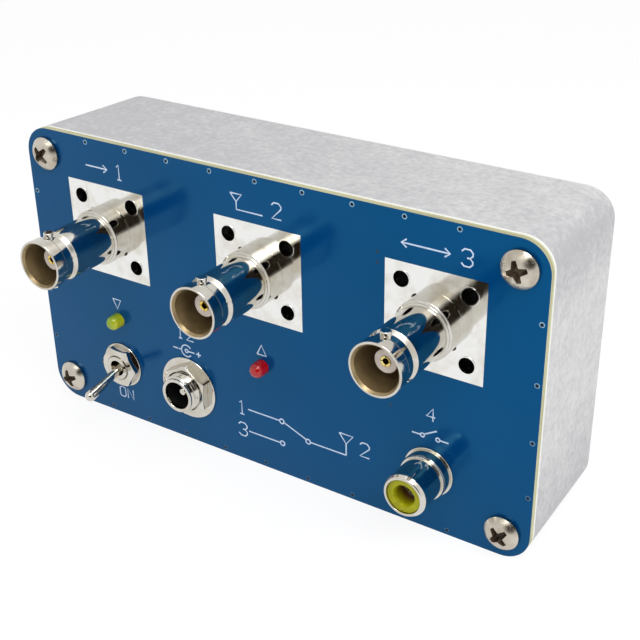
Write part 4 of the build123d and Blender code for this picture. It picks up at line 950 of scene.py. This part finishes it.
def draw_legends():
    """Generic numbers and signs beside the fittings, and the switching diagram."""
    unit = 3.0 / GLYPH_HEIGHT
    aerial = [[(-18, 6), (-15.5, 3), (-13, 6), (-18, 6)], [(-15.5, 3), (-15.5, 0), (-4, 0)]]
    head_right = [(-6, 4.5), (-4, 3), (-6, 1.5)]
    arrow_in = [[(-15, 3), (-4, 3)], head_right]
    arrow_both = [[(-22, 3), (-4, 3)], head_right, [(-20, 4.5), (-22, 3), (-20, 1.5)]]
    for label, mark, number in (("left", arrow_in, "1"), ("middle", aerial, "2"), ("right", arrow_both, "3")):
        x, z = centre_of(f"{label}_jack_shell")
        legend(f"legend_{label}_jack", mark + words(number), x, z + 12.9, unit)
    down = [[(0, 5), (4, 5), (2, 1), (0, 5)]]
    up = [[(0, 1), (4, 1), (2, 5), (0, 1)]]
    for node, mark in (("receive_lamp", down), ("transmit_lamp", up)):
        x, z = centre_of(node)
        legend(f"legend_{node}", mark, x, z + 3.55, unit * 1.05)
    legend("legend_toggle", words("ON"), centre_of("toggle_washer")[0], 5.35, 2.3 / GLYPH_HEIGHT)
    x, z = centre_of("dc_jack_washer")
    plug = [circle_stroke(9, 3, 3.2)[2:-2], circle_stroke(9, 3, 0.9), [(10, 3), (14, 3)], [(5.8, 3), (4, 3)]]
    polarity = words("-") + plug + moved(words("+"), 14.5, 0)
    legend("legend_power_symbol", polarity, x, z + 8.2, unit * 0.8)
    legend("legend_power_volts", words("12"), x, z + 12.0, unit * 0.85)
    x, z = centre_of("rca_jack_shell")
    contact = [
        [(0, 2), (4, 2)], circle_stroke(4.9, 2, 0.9), [(5.6, 2.6), (11.5, 6)],
        circle_stroke(12.1, 2, 0.9), [(13, 2), (17, 2)],
    ]
    legend("legend_phono_number", words("4"), x, z + 11.7, unit * 0.85)
    legend("legend_phono_symbol", contact, x, z + 7.7, unit * 0.85)
    draw_diagram(unit)


def draw_diagram(unit):
    """The switching diagram: one aerial line that goes to either of two jacks."""
    left, right, z = -6.5, 23.8, 9.6
    strokes = [
        *moved(words("1"), 0, 6), [(5, 9), (20, 9)], circle_stroke(21, 9, 1.0),
        *moved(words("3"), 0, -4), [(5, -1), (20, -1)], circle_stroke(21, -1, 1.0),
        circle_stroke(33, 4, 1.0), [(32.2, 4.6), (22.4, 8.6)], [(34, 4), (50, 4)],
        [(50, 4), (50, 9)], [(47, 13), (50, 9), (53, 13), (47, 13)],
        *moved(words("2"), 56, 6),
    ]
    legend("legend_diagram", strokes, (left + right) / 2, z, unit)


# ------------------------------------------------------------------ studio
# Directions are from the object. Light is linear and may be brighter than white.
TENT = (0.96, 0.96, 0.96, 1)
# Round patches of the tent: direction, degrees from it where the patch has faded out and where it is
# full, and light. They are the bright roof, the lamp that shines through it and the dark opening.
PATCHES = (
    ((0.2, 0.12, 0.97), 38, 22, (1.7, 1.7, 1.7, 1)),
    ((0.2, -0.33, 0.92), 18, 11, (12.0, 12.0, 12.0, 1)),
    ((0.543, -0.742, 0.394), 32, 16, (0.025, 0.018, 0.012, 1)),
)
# The bright strip above the opening is where three bands meet: direction, how far along it the band
# lies, and the distances from there where the band is full and has faded out. They bound the strip's
# width and its length, and keep it on one side of the tent.
STRIP_BANDS = (
    ((0.0, 0.678, 0.735), 0.0, 0.0, 0.12),
    ((1, 0, 0), 0.0, 0.1, 0.38),
    ((0.0, -0.735, 0.678), 1.0, 0.3, 0.7),
)
STRIP_LIGHT = (3.2, 3.2, 3.1, 1)
EVEN_LIGHT = (0.66, 0.66, 0.68, 1)
WHITE_LIGHT = (1.0, 1.0, 1.0, 1)
# The photograph's viewpoint
CAMERA_PLACE = Vector((116.93, -158.63, 132.74)) * MM
CAMERA_RIGHT = Vector((0.833, 0.5531, -0.0143))
CAMERA_BACK = Vector((0.496, -0.735, 0.4623))
CAMERA_LENS, CAMERA_SENSOR = 66.39, 36.0


def make_floor():
    """A pale floor: the camera and mirrors see mostly its own even glow, so shadows stay faint."""
    glow_strength, glow_share = 1.05, 0.8
    bm = bmesh.new()
    bmesh.ops.create_grid(bm, x_segments=24, y_segments=24, size=3.0)
    mesh = mesh_of("floor", bm)
    s = Shader("pale_floor")
    s.set(Roughness=0.9, Specular_IOR_Level=0.1)
    s.colour(s.mix(s.noise(3.0, 2.0), FLOOR, FLOOR_COOL))
    glow = s.node("ShaderNodeEmission", {"Strength": glow_strength}).outputs["Emission"]
    path = s.node("ShaderNodeLightPath").outputs
    seen = s.math("ADD", path["Is Camera Ray"], path["Is Glossy Ray"])
    lit_or_glow = {"Fac": s.math("MULTIPLY", seen, glow_share), 1: s.bsdf.outputs["BSDF"], 2: glow}
    surface = s.node("ShaderNodeMixShader", lit_or_glow).outputs["Shader"]
    s.feed(surface, s.tree.nodes["Material Output"].inputs["Surface"])
    mesh.materials.append(s.material)
    added("floor", mesh)


def make_world():
    """What lights the object from all round.

    Mirrors see a white tent with its patches and its strip. The camera and what is seen through the
    lamps' epoxy get white, and everything else an even grey.
    """
    world = bpy.data.worlds.new("studio")
    bpy.context.scene.world = world
    world.use_nodes = True
    sky = Tree(world.node_tree, "Generated")
    tent = TENT
    for direction, none, full, light in PATCHES:
        inside = sky.remap(sky.dot(direction), cos(radians(none)), cos(radians(full)), **SMOOTH)
        tent = sky.mix(inside, tent, light)
    strip = 1.0
    for direction, along, full, none in STRIP_BANDS:
        away = sky.math("ABSOLUTE", sky.math("SUBTRACT", sky.dot(direction), along))
        strip = sky.math("MULTIPLY", strip, sky.remap(away, full, none, 1.0, 0.0, **SMOOTH))
    tent = sky.mix(strip, tent, STRIP_LIGHT)
    path = sky.node("ShaderNodeLightPath").outputs
    clear = sky.math("MAXIMUM", path["Is Camera Ray"], path["Is Transmission Ray"])
    shown = sky.mix(path["Is Glossy Ray"], sky.mix(clear, EVEN_LIGHT, WHITE_LIGHT), tent)
    back = sky.tree.nodes["Background"]
    sky.feed(shown, back.inputs["Color"])
    back.inputs["Strength"].default_value = 1.0


def area_light(name, place, target, size, power):
    """A rectangular light that shines at a target and isn't seen in mirrors."""
    light = bpy.data.lights.new(name, "AREA")
    light.shape = "RECTANGLE"
    light.size, light.size_y = size
    light.energy = power
    thing = added(name, light)
    thing.location = place
    thing.rotation_mode = "QUATERNION"
    thing.rotation_quaternion = (Vector(target) - Vector(place)).to_track_quat("-Z", "Y")
    thing.visible_glossy = False


def make_lights():
    area_light("key", place=(0.24, -0.10, 0.30), target=(0.01, 0, 0.04), size=(0.3, 0.3), power=0.72)
    area_light("front", place=(0.0, -0.51, 0.66), target=(0, 0, 0.03), size=(0.5, 0.25), power=1.0)


def make_camera():
    data = bpy.data.cameras.new("view")
    data.sensor_width = CAMERA_SENSOR
    data.lens = CAMERA_LENS
    data.clip_start, data.clip_end = 0.01, 20.0
    camera = added("view", data)
    camera.matrix_world = with_axes(CAMERA_PLACE, CAMERA_RIGHT, CAMERA_BACK.cross(CAMERA_RIGHT), CAMERA_BACK)
    bpy.context.scene.camera = camera


# ------------------------------------------------------------------ the scene
for subpart in frame["record"]["subparts"]:
    dress(NODES[subpart["node"]], subpart["material_slot"])
for jack in ("left", "middle", "right"):
    bnc_jack(jack)
    flange_hole_lips(jack)
edge_hole_rings()
small_vias()
toggle_switch()
power_jack()
phono_jack()
lamp("receive_lamp", "green_lens")
lamp("transmit_lamp", "red_lens")
lid_screws()
draw_legends()
make_floor()
make_world()
make_lights()
make_camera()
bpy.context.scene.view_settings.view_transform = "Standard"
